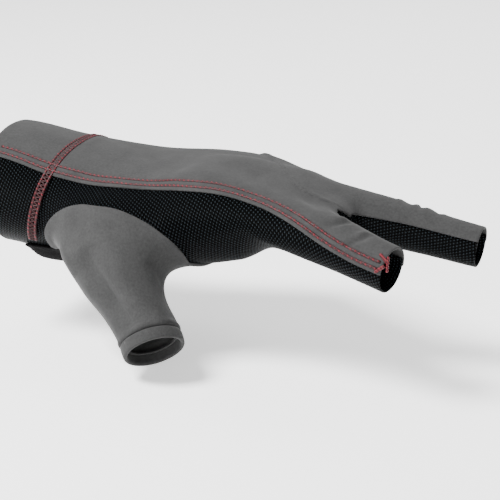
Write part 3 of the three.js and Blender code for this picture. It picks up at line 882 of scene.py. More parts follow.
def evenly(path: np.ndarray, pitch: float) -> np.ndarray:
    """Gives points at an even pitch along a path.

    Args:
        path: The path.
        pitch: The distance between the points.

    Returns:
        The points, with one at each end.
    """
    run = np.concatenate([[0], np.cumsum(np.linalg.norm(np.diff(path, axis=0), axis=1))])
    count = max(2, int(round(run[-1] / pitch)) + 1)
    at = np.linspace(0, run[-1], count)
    return np.stack([np.interp(at, run, path[:, n]) for n in range(3)], axis=1)


def directed_edges(faces: np.ndarray) -> np.ndarray:
    """Gives the three edges of every triangle, each from point to point."""
    return np.concatenate([faces[:, [0, 1]], faces[:, [1, 2]], faces[:, [2, 0]]])


def relaxed(patch: Patch, turns: int) -> np.ndarray:
    """Gives a patch's points eased towards their neighbours, without shrinking the whole.

    Args:
        patch: The closed skin.
        turns: How many times it is eased.

    Returns:
        The eased points.
    """
    edges = directed_edges(patch.faces)
    count = np.maximum(np.bincount(edges[:, 0], minlength=len(patch.points)), 1)[:, None]
    points = patch.points.copy()
    for _ in range(turns):
        for share in EASE_SHARES:
            summed = np.stack([np.bincount(edges[:, 0], points[edges[:, 1], axis],
                                           len(points)) for axis in range(3)], axis=1)
            points += share * (summed / count - points)
    return points


def to_path(points: np.ndarray, path: np.ndarray) -> tuple[np.ndarray, np.ndarray]:
    """Gives each point's distance to a path, and its share of the way along it.

    Args:
        points: The points to look at.
        path: The path.

    Returns:
        The distances, and the shares from 0 to 1.
    """
    best, share = np.full(len(points), FAR_AWAY), np.zeros(len(points))
    for n, (a, b) in enumerate(zip(path[:-1], path[1:])):
        t = np.clip((points - a) @ (b - a) / max((b - a) @ (b - a), TINY), 0, 1)
        far = np.linalg.norm(points - a - t[:, None] * (b - a), axis=1)
        closer = far < best
        best[closer] = far[closer]
        share[closer] = (n + t[closer]) / (len(path) - 1)
    return best, share


def rim_edges(faces: np.ndarray) -> np.ndarray:
    """Gives the directed edges that only one triangle uses.

    Args:
        faces: The triangles.

    Returns:
        Rows of a first and a second point.
    """
    edges = directed_edges(faces)
    size = int(faces.max()) + 1
    key = edges[:, 0] * size + edges[:, 1]
    other = edges[:, 1] * size + edges[:, 0]
    return edges[~np.isin(key, other)]


def linear(code: str) -> tuple[float, float, float, float]:
    """Turns an sRGB hex colour to linear red, green, blue and alpha.

    Args:
        code: The colour's hex code.

    Returns:
        The four values.
    """
    parts = [int(code[n:n + 2], 16) / 255 for n in (1, 3, 5)]
    red, green, blue = (p / 12.92 if p <= 0.04045 else ((p + 0.055) / 1.055) ** 2.4
                        for p in parts)
    return red, green, blue, 1.0


class Slot(Enum):
    """The record's material slots."""

    GREY_KNIT = "grey_knit"
    BLACK_MESH = "black_mesh"
    BLACK_PILE = "black_pile"


def new_material(name: str) -> tuple[bpy.types.Material, bpy.types.NodeTree]:
    """Starts an empty node material.

    Args:
        name: The material's name.

    Returns:
        The material and its node tree.
    """
    material = bpy.data.materials.new(name)
    material.use_nodes = True
    material.node_tree.nodes.clear()
    return material, material.node_tree


def add_node(tree: bpy.types.NodeTree, kind: str, settings: dict | None = None,
             inputs: dict | None = None) -> bpy.types.Node:
    """Adds one node with its settings and links.

    Args:
        tree: The node tree.
        kind: The node's type, after the word that the types of all shader nodes start with.
        settings: The node's own properties.
        inputs: What each input is set to, or the output that feeds it.

    Returns:
        The new node.
    """
    node = tree.nodes.new("ShaderNode" + kind)
    for name, value in (settings or {}).items():
        setattr(node, name, value)
    for name, value in (inputs or {}).items():
        if isinstance(value, bpy.types.NodeSocket):
            tree.links.new(value, node.inputs[name])
        else:
            node.inputs[name].default_value = value
    return node


def set_stops(ramp: bpy.types.ColorRamp, *stops: tuple[float, str]) -> None:
    """Sets a run of colours.

    Args:
        ramp: The run.
        *stops: Where each colour stands, from 0 to 1, and its sRGB hex code.
    """
    for element, (position, code) in ((ramp.elements[0], stops[0]), (ramp.elements[1], stops[-1])):
        element.position = position
        element.color = linear(code)
    for position, code in stops[1:-1]:
        ramp.elements.new(position).color = linear(code)


# The settings of the nodes that turn waves and shares into a pattern
COSINES = {"operation": "COSINE"}
PRODUCTS = {"operation": "MULTIPLY"}
WEIGHED_SUM = {"operation": "DOT_PRODUCT"}
SCALED_SUM = {"operation": "MULTIPLY_ADD"}


@dataclass(frozen=True)
class WarpKnit:
    """Grey two-way stretch knit: fine wales with a dull sheen, softly mottled.

    Its shares say how much the knit, the mottle and the grain count in the shade and in the
    relief. Sizes are in millimetres.
    """

    name: str = "warp_knit_polyamide_grey"
    light: str = "#3b3b3b"
    dark: str = "#272727"
    wale: float = 0.62
    course: float = 0.5
    knit_shares: Place = (0.3, 0.5, 0)
    mottle: float = 9.0
    grain: float = 0.9
    shade_shares: Place = (0.05, 0.5, 0.6)
    relief_shares: Place = (0.12, 0, 1.2)
    relief: float = 0.1

    def material(self) -> bpy.types.Material:
        """Gives the material. The wales are drawn coarser than the real 0.3 mm, to show.

        Returns:
            The material.
        """
        material, tree = new_material(self.name)
        turn = 2 * math.pi / UV_PER_MM
        uv = add_node(tree, "UVMap", {"uv_map": "UVMap"}).outputs["UV"]
        phase = add_node(tree, "VectorMath", PRODUCTS, {
            0: uv, 1: (turn / self.course, turn / self.wale, 0)})
        waves = add_node(tree, "VectorMath", COSINES, {0: phase.outputs[0]})
        knit = add_node(tree, "VectorMath", WEIGHED_SUM, {
            0: waves.outputs[0], 1: self.knit_shares})
        place = add_node(tree, "TexCoord").outputs["Object"]
        mottle = add_node(tree, "TexNoise", inputs={
            "Vector": place, "Scale": 1 / (self.mottle * MM), "Detail": 3, "Roughness": 0.55})
        grain = add_node(tree, "TexNoise", inputs={
            "Vector": place, "Scale": 1 / (self.grain * MM), "Detail": 2, "Roughness": 0.6})
        parts = add_node(tree, "CombineXYZ", inputs={
            "X": knit.outputs["Value"], "Y": mottle.outputs["Fac"], "Z": grain.outputs["Fac"]})
        shade, height = (
            add_node(tree, "VectorMath", WEIGHED_SUM, {0: parts.outputs[0], 1: shares})
            for shares in (self.shade_shares, self.relief_shares))
        ramp = add_node(tree, "ValToRGB", inputs={"Fac": shade.outputs["Value"]})
        set_stops(ramp.color_ramp, (0.2, self.dark), (0.8, self.light))
        bump = add_node(tree, "Bump", inputs={
            "Height": height.outputs["Value"], "Strength": 0.35, "Distance": self.relief * MM})
        shader = add_node(tree, "BsdfPrincipled", inputs={
            "Base Color": ramp.outputs["Color"], "Normal": bump.outputs["Normal"],
            "Roughness": 0.88, "Sheen Weight": 0.08, "Sheen Roughness": 0.4,
            "Specular IOR Level": 0.15})
        add_node(tree, "OutputMaterial", inputs={"Surface": shader.outputs["BSDF"]})
        return material


@dataclass(frozen=True)
class SpacerMesh:
    """Black polyester spacer mesh: staggered raised threads, whose shine is a painted highlight in
    a lighter colour on their crests, and holes whose darkness is painted shade.

    Sizes are in millimetres.
    """

    name: str = "spacer_mesh_polyester_black"
    # The crests of the raised threads: the black thread with a painted highlight
    thread: str = "#262c30"
    ground: str = "#020202"
    # The holes: painted shade where the cloth is open
    hole_shade: str = "#000000"
    pitch: float = 1.5
    row: float = 1.05
    angle: float = 0.0
    wander_cell: float = 7.0
    wander: float = 0.7
    relief: float = 0.35

    def material(self) -> bpy.types.Material:
        """Gives the material. A product of two waves makes the staggered threads and holes, with a
        painted highlight on the threads' crests and painted shade in the holes.

        Returns:
            The material.
        """
        material, tree = new_material(self.name)
        place = add_node(tree, "TexCoord").outputs["Object"]
        noise_here = add_node(tree, "TexNoise", inputs={
            "Vector": place, "Scale": 1 / (self.wander_cell * MM), "Detail": 1})
        shift = add_node(tree, "Math", PRODUCTS, {0: noise_here.outputs["Fac"], 1: self.wander})
        uv = add_node(tree, "UVMap", {"uv_map": "UVMap"}).outputs["UV"]
        flat = add_node(tree, "Mapping", inputs={
            "Vector": uv, "Location": shift.outputs[0],
            "Rotation": (0, 0, math.radians(self.angle)),
            "Scale": (1 / UV_PER_MM, 1 / UV_PER_MM, 1)})
        phase = add_node(tree, "VectorMath", PRODUCTS, {
            0: flat.outputs[0], 1: (2 * math.pi / self.pitch, math.pi / self.row, 0)})
        waves = add_node(tree, "VectorMath", COSINES, {0: phase.outputs[0]})
        parts = add_node(tree, "SeparateXYZ", inputs={"Vector": waves.outputs[0]})
        weave = add_node(tree, "Math", PRODUCTS, {0: parts.outputs["X"], 1: parts.outputs["Y"]})
        share = add_node(tree, "Math", SCALED_SUM, {0: weave.outputs[0], 1: 0.5, 2: 0.5})
        # Painted shade in the holes, the black ground, and a painted highlight on the threads'
        # crests
        ramp = add_node(tree, "ValToRGB", inputs={"Fac": share.outputs[0]})
        set_stops(ramp.color_ramp, (0.3, self.hole_shade), (0.72, self.ground), (0.97, self.thread))
        bump = add_node(tree, "Bump", inputs={
            "Height": weave.outputs[0], "Strength": 0.8, "Distance": self.relief * MM})
        shader = add_node(tree, "BsdfPrincipled", inputs={
            "Base Color": ramp.outputs["Color"], "Normal": bump.outputs["Normal"],
            "Roughness": 0.42, "Specular IOR Level": 0.025})
        add_node(tree, "OutputMaterial", inputs={"Surface": shader.outputs["BSDF"]})
        return material


@dataclass(frozen=True)
class LoopPile:
    """Black brushed nylon pile of a hook and loop closure: matt, with short upright fuzz."""

    name: str = "loop_pile_nylon_black"
    light: str = "#0d0d0e"
    dark: str = "#010101"
    tuft: float = 0.8
    relief: float = 0.5

    def material(self) -> bpy.types.Material:
        """Gives the material, whose noise stands for the tufts, sized in millimetres.

        Returns:
            The material.
        """
        material, tree = new_material(self.name)
        place = add_node(tree, "TexCoord").outputs["Object"]
        tufts = add_node(tree, "TexNoise", inputs={
            "Vector": place, "Scale": 1 / (self.tuft * MM), "Detail": 4, "Roughness": 0.7})
        ramp = add_node(tree, "ValToRGB", inputs={"Fac": tufts.outputs["Fac"]})
        set_stops(ramp.color_ramp, (0.4, self.dark), (0.75, self.light))
        bump = add_node(tree, "Bump", inputs={
            "Height": tufts.outputs["Fac"], "Strength": 1, "Distance": self.relief * MM})
        shader = add_node(tree, "BsdfPrincipled", inputs={
            "Base Color": ramp.outputs["Color"], "Normal": bump.outputs["Normal"],
            "Roughness": 0.97, "Specular IOR Level": 0.1})
        add_node(tree, "OutputMaterial", inputs={"Surface": shader.outputs["BSDF"]})
        return material


@dataclass(frozen=True)
class SewingThread:
    """Red polyester sewing thread: twisted, with a soft gloss along each stitch."""

    name: str = "sewing_thread_polyester_red"
    light: str = "#6c1420"
    dark: str = "#38080e"
    band: float = 2.7
    relief: float = 0.1

    def material(self) -> bpy.types.Material:
        """Gives the material, with slanted bands for the ply, sized in millimetres.

        Returns:
            The material.
        """
        material, tree = new_material(self.name)
        place = add_node(tree, "TexCoord").outputs["Object"]
        ply = add_node(tree, "TexWave", {"bands_direction": "DIAGONAL"}, {
            "Vector": place, "Scale": 1 / (self.band * MM), "Distortion": 1})
        ramp = add_node(tree, "ValToRGB", inputs={"Fac": ply.outputs["Fac"]})
        set_stops(ramp.color_ramp, (0, self.dark), (1, self.light))
        bump = add_node(tree, "Bump", inputs={
            "Height": ply.outputs["Fac"], "Strength": 0.4, "Distance": self.relief * MM})
        shader = add_node(tree, "BsdfPrincipled", inputs={
            "Base Color": ramp.outputs["Color"], "Normal": bump.outputs["Normal"],
            "Roughness": 0.55, "Specular IOR Level": 0.3})
        add_node(tree, "OutputMaterial", inputs={"Surface": shader.outputs["BSDF"]})
        return material


def clear_selection() -> None:
    """Deselects everything, so that an operator acts only on the new piece."""
    for item in bpy.context.view_layer.objects:
        item.select_set(False)


def new_object(name: str, points: np.ndarray, faces: Sequence[Sequence[int]],
               material: bpy.types.Material | None = None) -> bpy.types.Object:
    """Makes an object from points in millimetres.

    Args:
        name: The piece's name.
        points: Its points.
        faces: Its faces.
        material: Its finish, where it has one yet.

    Returns:
        The object, smooth shaded and linked to the scene.
    """
    mesh = bpy.data.meshes.new(name)
    mesh.from_pydata((points * MM).tolist(), [], [list(face) for face in faces])
    mesh.polygons.foreach_set("use_smooth", [True] * len(mesh.polygons))
    if material is not None:
        mesh.materials.append(material)
    piece = bpy.data.objects.new(name, mesh)
    bpy.context.scene.collection.objects.link(piece)
    mesh.update()
    return piece


def flatten(patch: Patch, seam: np.ndarray | None = None) -> np.ndarray:
    """Lays a patch out flat, as the cloth was before it was sewn.

    Args:
        patch: The patch.
        seam: Marks the points that an inner seam runs through, where it needs one.

    Returns:
        The flat place of each corner of each triangle, in millimetres, with x to the fingers.
    """
    clear_selection()
    piece = new_object("flat_pattern", patch.points, patch.faces.tolist())
    if seam is not None:
        for edge in piece.data.edges:
            edge.use_seam = bool(seam[edge.vertices[0]] and seam[edge.vertices[1]])
    piece.select_set(True)
    bpy.context.view_layer.objects.active = piece
    bpy.ops.object.mode_set(mode="EDIT")
    bpy.ops.mesh.select_all(action="SELECT")
    bpy.ops.uv.unwrap(method="MINIMUM_STRETCH", iterations=UNWRAP_TURNS, margin=0)
    bpy.ops.object.mode_set(mode="OBJECT")
    flat = np.empty(len(piece.data.loops) * 2)
    piece.data.uv_layers.active.data.foreach_get("uv", flat)
    bpy.data.objects.remove(piece)
    corners = flat.reshape(-1, 3, 2)
    a, b, c = corners[:, 0], corners[:, 1], corners[:, 2]
    ab, ac = b - a, c - a
    size = np.abs(ab[:, 0] * ac[:, 1] - ab[:, 1] * ac[:, 0]).sum() / 2
    corners = corners * math.sqrt(patch.area() / max(size, TINY))
    rows = corners.reshape(-1, 2)
    along = patch.points[patch.faces].reshape(-1, 3)[:, 0]
    table = np.column_stack([rows, np.ones(len(rows))])
    slope = np.linalg.lstsq(table, along, rcond=None)[0][:2]
    turn = -math.atan2(slope[1], slope[0])
    spin = np.array([[math.cos(turn), -math.sin(turn)], [math.sin(turn), math.cos(turn)]])
    corners = corners @ spin.T
    return corners - corners.reshape(-1, 2).min(axis=0)


@dataclass
class Cloth:
    """A panel of cloth with its thickness, its flat pattern and its rounded edges."""

    name: str
    patch: Patch
    outer: np.ndarray
    outward: np.ndarray
    thickness: np.ndarray
    flat: np.ndarray
    rows: int = 3
    turn_step: int = 3

    def build(self, material: bpy.types.Material) -> bpy.types.Object:
        """Makes the closed piece: an outer and an inner face and a round edge between them.

        Args:
            material: The cloth's finish.

        Returns:
            The finished object.
        """
        faces, count = self.patch.faces, len(self.outer)
        inner = self.outer - self.outward * self.thickness[:, None]
        edges = rim_edges(faces)
        rim = np.unique(edges)
        along = np.zeros_like(self.outer)
        span = unit(self.outer[edges[:, 1]] - self.outer[edges[:, 0]])
        np.add.at(along, edges[:, 0], span)
        np.add.at(along, edges[:, 1], span)
        past = unit(np.cross(unit(along[rim]), self.outward[rim]))
        half = self.thickness[rim, None] / 2
        centre = self.outer[rim] - self.outward[rim] * half
        points = [self.outer, inner]
        for n in range(1, self.rows + 1):
            angle = math.pi * (0.5 - n / (self.rows + 1))
            points.append(centre + self.outward[rim] * half * math.sin(angle)
                          + past * half * math.cos(angle))
        number = np.full(count, -1)
        number[rim] = np.arange(len(rim))
        rings = [edges, *(2 * count + n * len(rim) + number[edges] for n in range(self.rows)),
                 edges + count]
        made = [faces, faces[:, ::-1] + count]
        corner = [self.flat.reshape(-1, 2), self.flat[:, ::-1].reshape(-1, 2)]
        first, second = self.edge_corners(edges)
        side = (second - first)[:, ::-1] * (1, -1)
        side /= np.maximum(np.linalg.norm(side, axis=1, keepdims=True), TINY)
        strip = side * self.thickness[edges[:, :1]] / 2 * math.pi / (self.rows + 1)
        for n, (near, far) in enumerate(zip(rings, rings[1:])):
            quads = np.column_stack([near[:, ::-1], far])
            flat = (second + strip * n, first + strip * n, first + strip * (n + 1),
                    second + strip * (n + 1))
            for triangle in ([0, 1, 2], [0, 2, 3]):
                made.append(quads[:, triangle])
                corner.append(np.stack([flat[k] for k in triangle], axis=1).reshape(-1, 2))
        piece = new_object(self.name, np.concatenate(points), np.concatenate(made).tolist(),
                           material)
        layer = piece.data.uv_layers.new(name="UVMap")
        layer.data.foreach_set("uv", (np.concatenate(corner) * UV_PER_MM).ravel())
        return piece

    def edge_corners(self, edges: np.ndarray) -> tuple[np.ndarray, np.ndarray]:
        """Gives the flat places of the two ends of each rim edge.

        Args:
            edges: The rim's edges.

        Returns:
            The first and the second ends' places.
        """
        faces = self.patch.faces
        size = int(faces.max()) + 1
        keys = np.concatenate([faces[:, n] * size + faces[:, (n + 1) % 3] for n in range(3)])
        order = np.argsort(keys)
        found = order[np.searchsorted(keys[order], edges[:, 0] * size + edges[:, 1])]
        corner, row = found // len(faces), found % len(faces)
        return self.flat[row, corner], self.flat[row, (corner + 1) % 3]

    def cut_size(self) -> tuple[float, float, float]:
        """Gives the smallest width and length that the flat cloth is cut from, and its area.

        Returns:
            The width, the length and the area, in metres.
        """
        best = (FAR_AWAY, 1.0, 1.0)
        for degrees in range(0, 90, self.turn_step):
            turn = math.radians(degrees)
            spin = np.array([[math.cos(turn), math.sin(turn)], [-math.sin(turn), math.cos(turn)]])
            wide, long = sorted(np.ptp(self.flat.reshape(-1, 2) @ spin, axis=0))
            best = min(best, (wide * long, wide, long))
        return best[1] * MM, best[2] * MM, self.patch.area() * MM * MM


@dataclass
class Fold:
    """A soft ridge or valley along a line on the cloth.

    Its height is in millimetres, below zero for a valley, and it fades out at both ends.
    """

    line: tuple[Place, ...]
    height: float
    width: float
    fade_power: float = 0.7

    def __call__(self, points: np.ndarray) -> np.ndarray:
        """Gives the fold's height at each point.

        Args:
            points: The points to look at.

        Returns:
            One height for each point.
        """
        far, share = to_path(points, np.array(self.line, float))
        fade = np.clip(4 * share * (1 - share), 0, 1) ** self.fade_power
        return self.height * bell(far, self.width) * fade


# The soft folds that the photograph shows, each along a line on the form, with its height and
# its width
FOLDS = (
    Fold(((48.7, -44.5, -8.1), (51.9, -48.1, -13.9), (59.5, -52.3, -20.0), (68.8, -56.9, -27.6),
          (75.1, -60.4, -32.6)), -3.4, 4.4),
    Fold(((59.8, -43.3, -4.1), (63.5, -47.1, -10.4), (66.2, -51.6, -17.4), (73.7, -56.0, -25.2)),
         1.3, 4.6),
    Fold(((33.9, -34.7, -13.5), (40.4, -41.3, -15.7), (45.3, -44.8, -19.6)), 1.0, 3.6),
    Fold(((73.6, -39.4, -9.9), (76.5, -36.7, -15.1), (77.4, -36.0, -21.6)), -1.3, 3.6),
    Fold(((142.0, -41.0, 10.5), (145.6, -40.1, 10.8), (149.4, -36.6, 11.0), (150.5, -33.0, 10.6)),
         -0.95, 1.4),
    Fold(((143.5, -37.5, 12.0), (147.0, -35.5, 12.2), (148.5, -32.0, 11.6)), 0.6, 1.4),
    Fold(((151.0, -46.0, 4.6), (153.5, -45.0, 6.0), (157.5, -42.3, 7.5), (159.5, -38.5, 7.9)),
         -1.0, 1.3),
    Fold(((154.0, -43.0, 8.0), (156.5, -40.5, 8.6), (158.0, -37.5, 8.8)), 0.6, 1.3),
    Fold(((114.1, -6.8, 19.3), (126.4, -20.8, 16.2), (136.7, -31.3, 13.9), (143.8, -35.8, 12.4)),
         -0.7, 3.2),
    Fold(((105.7, -37.7, 9.2), (107.4, -36.8, 1.4), (101.6, -26.2, -10.1)), -0.5, 3.0),
    Fold(((112.8, -37.8, 1.9), (119.3, -38.2, 0.1), (125.8, -40.5, 0.4)), 0.4, 2.5),
    Fold(((29.3, 13.9, 20.6), (31.7, 4.5, 21.7), (32.0, -6.0, 21.0)), 0.45, 2.2),
)


@dataclass(frozen=True)
class Swell:
    """A low ridge beside a seam, or a crease where its height is below zero."""

    height: float
    beside: float
    width: float

    def __call__(self, far: np.ndarray) -> np.ndarray:
        """Gives its height at a distance from the seam."""
        return self.height * bell(far - self.beside, self.width)


@dataclass
class Tailor:
    """Cuts the panels from the skin, gives them folds and sews them."""

    form: HandForm = field(default_factory=HandForm)
    cloth: float = 0.9
    knit_lift: float = 0.15
    mesh_share: float = 0.8
    mesh_sink: float = 0.75
    overlap: float = 3.0
    neighbours: int = 4
    waviness: float = 0.3
    waves_per_mm: float = 0.045
    crest_swell: Swell = Swell(0.55, 0.4, 0.8)
    crest_step: Swell = Swell(0.35, 0, 3.5)
    crest_edge: float = 0.4
    crest_fade: float = 3
    hem_ridge: Swell = Swell(0.45, 2.4, 1.1)
    hem_crease: Swell = Swell(-1.5, 0, 1.0)
    arch_ridge: Swell = Swell(0.35, 1.8, 1.2)
    ruffle_height: float = 0.5
    ruffle_pitch: float = 5.6
    ruffle_first: float = 160.5
    ruffle_start: Span = (157, 161)
    ruffle_end: Span = (175, 179)
    ruffle_turn: float = math.radians(58)
    ruffle_spread: float = math.radians(34)

    def __post_init__(self) -> None:
        """Draws the skin that every panel is cut from, and measures how it eases."""
        self.skin = self.form.skin(SKIN_CELL)
        eased = relaxed(self.skin, EASE_TURNS)
        self.ease = dot(eased - self.skin.points, self.form.normals(self.skin.points))
        self.tree = kdtree.KDTree(len(self.skin.points))
        for n, point in enumerate(self.skin.points):
            self.tree.insert(point, n)
        self.tree.balance()
        LOG.info("skin: %d points, %d triangles", len(self.skin.points), len(self.skin.faces))

    def below_border(self, points: np.ndarray) -> np.ndarray:
        """Gives how far each point lies below the grey edge, with the overlap under it."""
        return self.overlap - self.form.above_border(points)

    def cut(self, *fields: Field) -> Patch:
        """Gives what is left of the skin inside all the fields.

        Args:
            *fields: Fields that are positive where the cloth stays.

        Returns:
            The panel.
        """
        patch = self.skin
        for inside in fields:
            patch = self.form.cut(patch, inside)
        return patch

    def relief(self, points: np.ndarray) -> np.ndarray:
        """Gives how far the cloth's folds lift it off the form at each point.

        Args:
            points: The points to look at.

        Returns:
            One height for each point.
        """
        lift = np.empty(len(points))
        for n, point in enumerate(points):
            found = self.tree.find_n(point, self.neighbours)
            weights = [1 / (far * far + 0.05) for _, _, far in found]
            eased = sum(w * self.ease[index] for w, (_, index, _) in zip(weights, found))
            wave = noise.noise(Vector(point) * self.waves_per_mm)
            lift[n] = eased / sum(weights) + self.waviness * wave
        for fold in FOLDS:
            lift += fold(points)
        return lift + self.ruffle(points) + self.crest(points)

    def lifted(self, points: np.ndarray, lift: float) -> np.ndarray:
        """Gives the points moved out to lie on the cloth and its folds, and a little beyond."""
        return points + self.form.normals(points) * (self.relief(points) + lift)[:, None]

    def crest(self, points: np.ndarray) -> np.ndarray:
        """Gives the narrow raised line where the ridge seam's cloth is folded under.

        Args:
            points: The points to look at.

        Returns:
            One height for each point.
        """
        form = self.form
        slope = form.slope_of(form.ridge, points)
        far = form.ridge(points) / np.maximum(np.sqrt(dot(slope, slope)), LEAST_SLOPE)
        above = smooth_step(0, self.crest_fade, form.above_border(points))
        step = smooth_step(-self.crest_edge, self.crest_edge, far) - 1
        return (self.crest_swell(far) + self.crest_step(far) * step) * above

    def rolled(self, name: str, points: np.ndarray) -> np.ndarray:
        """Gives how far the thumb stall sinks or swells beside its hem and its arched seam.

        Args:
            name: The piece's name.
            points: The points to look at.

        Returns:
            One height for each point.
        """
        form = self.form
        if name != "thumb_stall_cloth":
            return np.zeros(len(points))
        to_hem = form.thumb_length - form.hem_height - form.along_thumb(points)
        at_hem = self.hem_ridge(to_hem) + self.hem_crease(to_hem)
        return at_hem + self.arch_ridge(form.thumb_seam(points))

    def ruffle(self, points: np.ndarray) -> np.ndarray:
        """Gives the gathers along the far edge of the middle finger.

        Args:
            points: The points to look at.

        Returns:
            One height for each point.
        """
        form = self.form
        x = points[:, 0]
        middle_y, middle_z, wide, deep = form.middle.section(x)
        turn = np.arctan2((points[:, 2] - middle_z) / deep, (points[:, 1] - middle_y) / wide)
        here = bell(turn - self.ruffle_turn, self.ruffle_spread) * (form.ridge(points) > 0)
        span = smooth_step(*self.ruffle_start, x) * (1 - smooth_step(*self.ruffle_end, x))
        uneven = 1.1 * np.sin(x * 0.6)
        wave = np.cos(2 * math.pi * (x - self.ruffle_first) / self.ruffle_pitch + uneven)
        return self.ruffle_height * here * span * wave

    def sew(self, name: str, patch: Patch, lift: np.ndarray | float,
            thickness: np.ndarray | float,
            material: bpy.types.Material, slot: Slot, nodes: Sequence[str],
            seam: np.ndarray | None = None, hem_of: str | None = None,
            with_pieces: Sequence[bpy.types.Object] = ()) -> bpy.types.Object:
        """Args:
            name: The piece's name.
            patch: The panel.
            lift: How far its outer face lies outside the form.
            thickness: The cloth's thickness.
            material: Its finish.
            slot: The record's slot that the finish belongs to; not used.
            nodes: The CAD nodes that it replaces.
            seam: Marks the points of an inner seam that lets it lie flat.
            with_pieces: The pieces that are sewn on it; not used.

        Returns:
            The piece.
        """
        outward = self.form.normals(patch.points)
        height = self.relief(patch.points) + self.rolled(name, patch.points) + lift
        outer = patch.points + outward * height[:, None]
        flat = flatten(patch, seam)
        cloth = Cloth(name, patch, outer, outward, thickness + np.zeros(len(outer)), flat)
        piece = cloth.build(material)
        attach(piece, "root")
        if nodes:
            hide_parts(*nodes)
        wide, long, area = cloth.cut_size()
        LOG.info("%s: %d triangles, flat %.0f by %.0f mm", name, len(piece.data.polygons),
                 wide / MM, long / MM)
        return piece

    def sew_knit(self, node: str, patch: Patch, grey: bpy.types.Material) -> None:
        """Makes a panel of grey knit in the place of its node.

        Args:
            node: The node.
            patch: The panel.
            grey: Its finish.
        """
        self.sew(f"{node}_cloth", patch, self.knit_lift, self.cloth, grey, Slot.GREY_KNIT,
                 [node])

    def sew_mesh(self, node: str, patch: Patch, mesh: bpy.types.Material) -> None:
        """Makes a panel of mesh, which lies under the grey edge, in the place of its node.

        Args:
            node: The node.
            patch: The panel.
            mesh: Its finish.
        """
        self.sew(f"{node}_cloth", patch, -self.mesh_sink, self.cloth * self.mesh_share, mesh,
                 Slot.BLACK_MESH, [node])


@dataclass
class Cuff:
    """The two panels round the wrist."""

    tailor: Tailor
    grey: bpy.types.Material
    mesh: bpy.types.Material

    def build(self) -> None:
        """Makes the grey back of the cuff and the mesh under it."""
        tailor, form = self.tailor, self.tailor.form
        cuff = (form.mouth, outside(form.ring))
        back = tailor.cut(*cuff, form.above_border, outside(form.opening))
        tailor.sew_knit("cuff_back", back, self.grey)
        under = tailor.cut(*cuff, tailor.below_border)
        tailor.sew_mesh("cuff_underside", under, self.mesh)


@dataclass
class HandPanels:
    """The panels over the back of the hand, the palm and the two fingers."""

    tailor: Tailor
    grey: bpy.types.Material
    mesh: bpy.types.Material
    strip: bpy.types.Material

    def build(self) -> None:
        """Makes the back panel, the middle finger's back, the palm and the gusset."""
        tailor, form = self.tailor, self.tailor.form
        open_ends = [outside(end) for end in (form.opening, form.index_mouth, form.middle_mouth)]
        back = tailor.cut(form.above_border, outside(form.ridge), form.ring, *open_ends)
        tailor.sew_knit("back_panel", back, self.grey)
        middle = tailor.cut(form.above_border, form.ridge, form.ring, *open_ends)
        tailor.sew_knit("middle_finger_back", middle, self.grey)
        palm = tailor.cut(tailor.below_border, form.ring, *open_ends, outside(form.thumb_seam),
                          outside(form.gusset))
        tailor.sew_mesh("palm_panel", palm, self.mesh)
        gusset = tailor.cut(tailor.below_border, form.gusset, *open_ends)
        tailor.sew_mesh("finger_gusset", gusset, self.strip)


@dataclass
class ThumbStall:
    """The grey stall round the thumb, with the folded hem at its mouth."""

    tailor: Tailor
    grey: bpy.types.Material
    hem_lift: float = 0.3
    hem_layers: float = 1.6
    seam_reach: float = 0.02
    seam_depth: float = 2

    def build(self) -> None:
        """Makes the stall and its hem, each cut open along its far side to lie flat."""
        tailor, form = self.tailor, self.tailor.form
        crease = form.thumb_length - form.hem_height
        hem, seam = self.opened(tailor.cut(
            form.thumb_seam, lambda p: form.along_thumb(p) - crease,
            lambda p: form.thumb_length - form.along_thumb(p)))
        band = tailor.sew("thumb_hem_cloth", hem, self.hem_lift, tailor.cloth * self.hem_layers,
                          self.grey, Slot.GREY_KNIT, ["thumb_hem"], seam,
                          hem_of="thumb_stall_cloth")
        stall, seam = self.opened(tailor.cut(
            form.thumb_seam, lambda p: crease - form.along_thumb(p)))
        tailor.sew("thumb_stall_cloth", stall, 0.0, tailor.cloth, self.grey, Slot.GREY_KNIT,
                   ["thumb_stall"], seam, with_pieces=[band])

    def opened(self, tube: Patch) -> tuple[Patch, np.ndarray]:
        """Gives the tube with edges along its far side, and marks their points.

        Args:
            tube: The tube round the thumb.

        Returns:
            The tube, and a mark for each point.
        """
        thumb = self.tailor.form.thumb

        def side(points: np.ndarray) -> np.ndarray:
            """Gives how far each point lies to one side of the thumb's middle."""
            return (points - thumb.root) @ thumb.side

        tube = self.tailor.form.cut(tube, side, both=True)
        far = (tube.points - thumb.root) @ thumb.up < -self.seam_depth
        return tube, (np.abs(side(tube.points)) < self.seam_reach) & far


@dataclass
class WristStrap:
    """The closure strap under the wrist."""

    tailor: Tailor
    pile: bpy.types.Material
    taper: float = 5.0
    edge_lift: float = 0.5
    edge_thickness: float = 1.0
    padding: float = 3.2
    pad_share: float = 0.8

    def build(self) -> None:
        """Makes the strap, which thins towards its edges."""
        tailor, outline = self.tailor, self.tailor.form.strap
        strap = tailor.cut(outline)
        pad = self.padding * smooth_step(0, self.taper, outline(strap.points))
        tailor.sew("wrist_strap_cloth", strap, self.edge_lift + pad,
                   self.edge_thickness + self.pad_share * pad, self.pile, Slot.BLACK_PILE,
                   ["wrist_strap"])


# The bar tacks at the index finger's mouth: name, middle, the way each runs, length and width
TACKS = (
    ("bar_tack_upper", (166.4, -47.6, 2.5), (1, -0.7, -0.6), (3.8, 1.5)),
    ("bar_tack_lower", (165.6, -49.6, -1.0), (1, 0.5, 0.6), (3.8, 1.5)),
    ("bar_tack_mouth", (168.3, -49.0, 0.8), (0.1, -0.6, -0.8), (5.6, 1.1)),
)


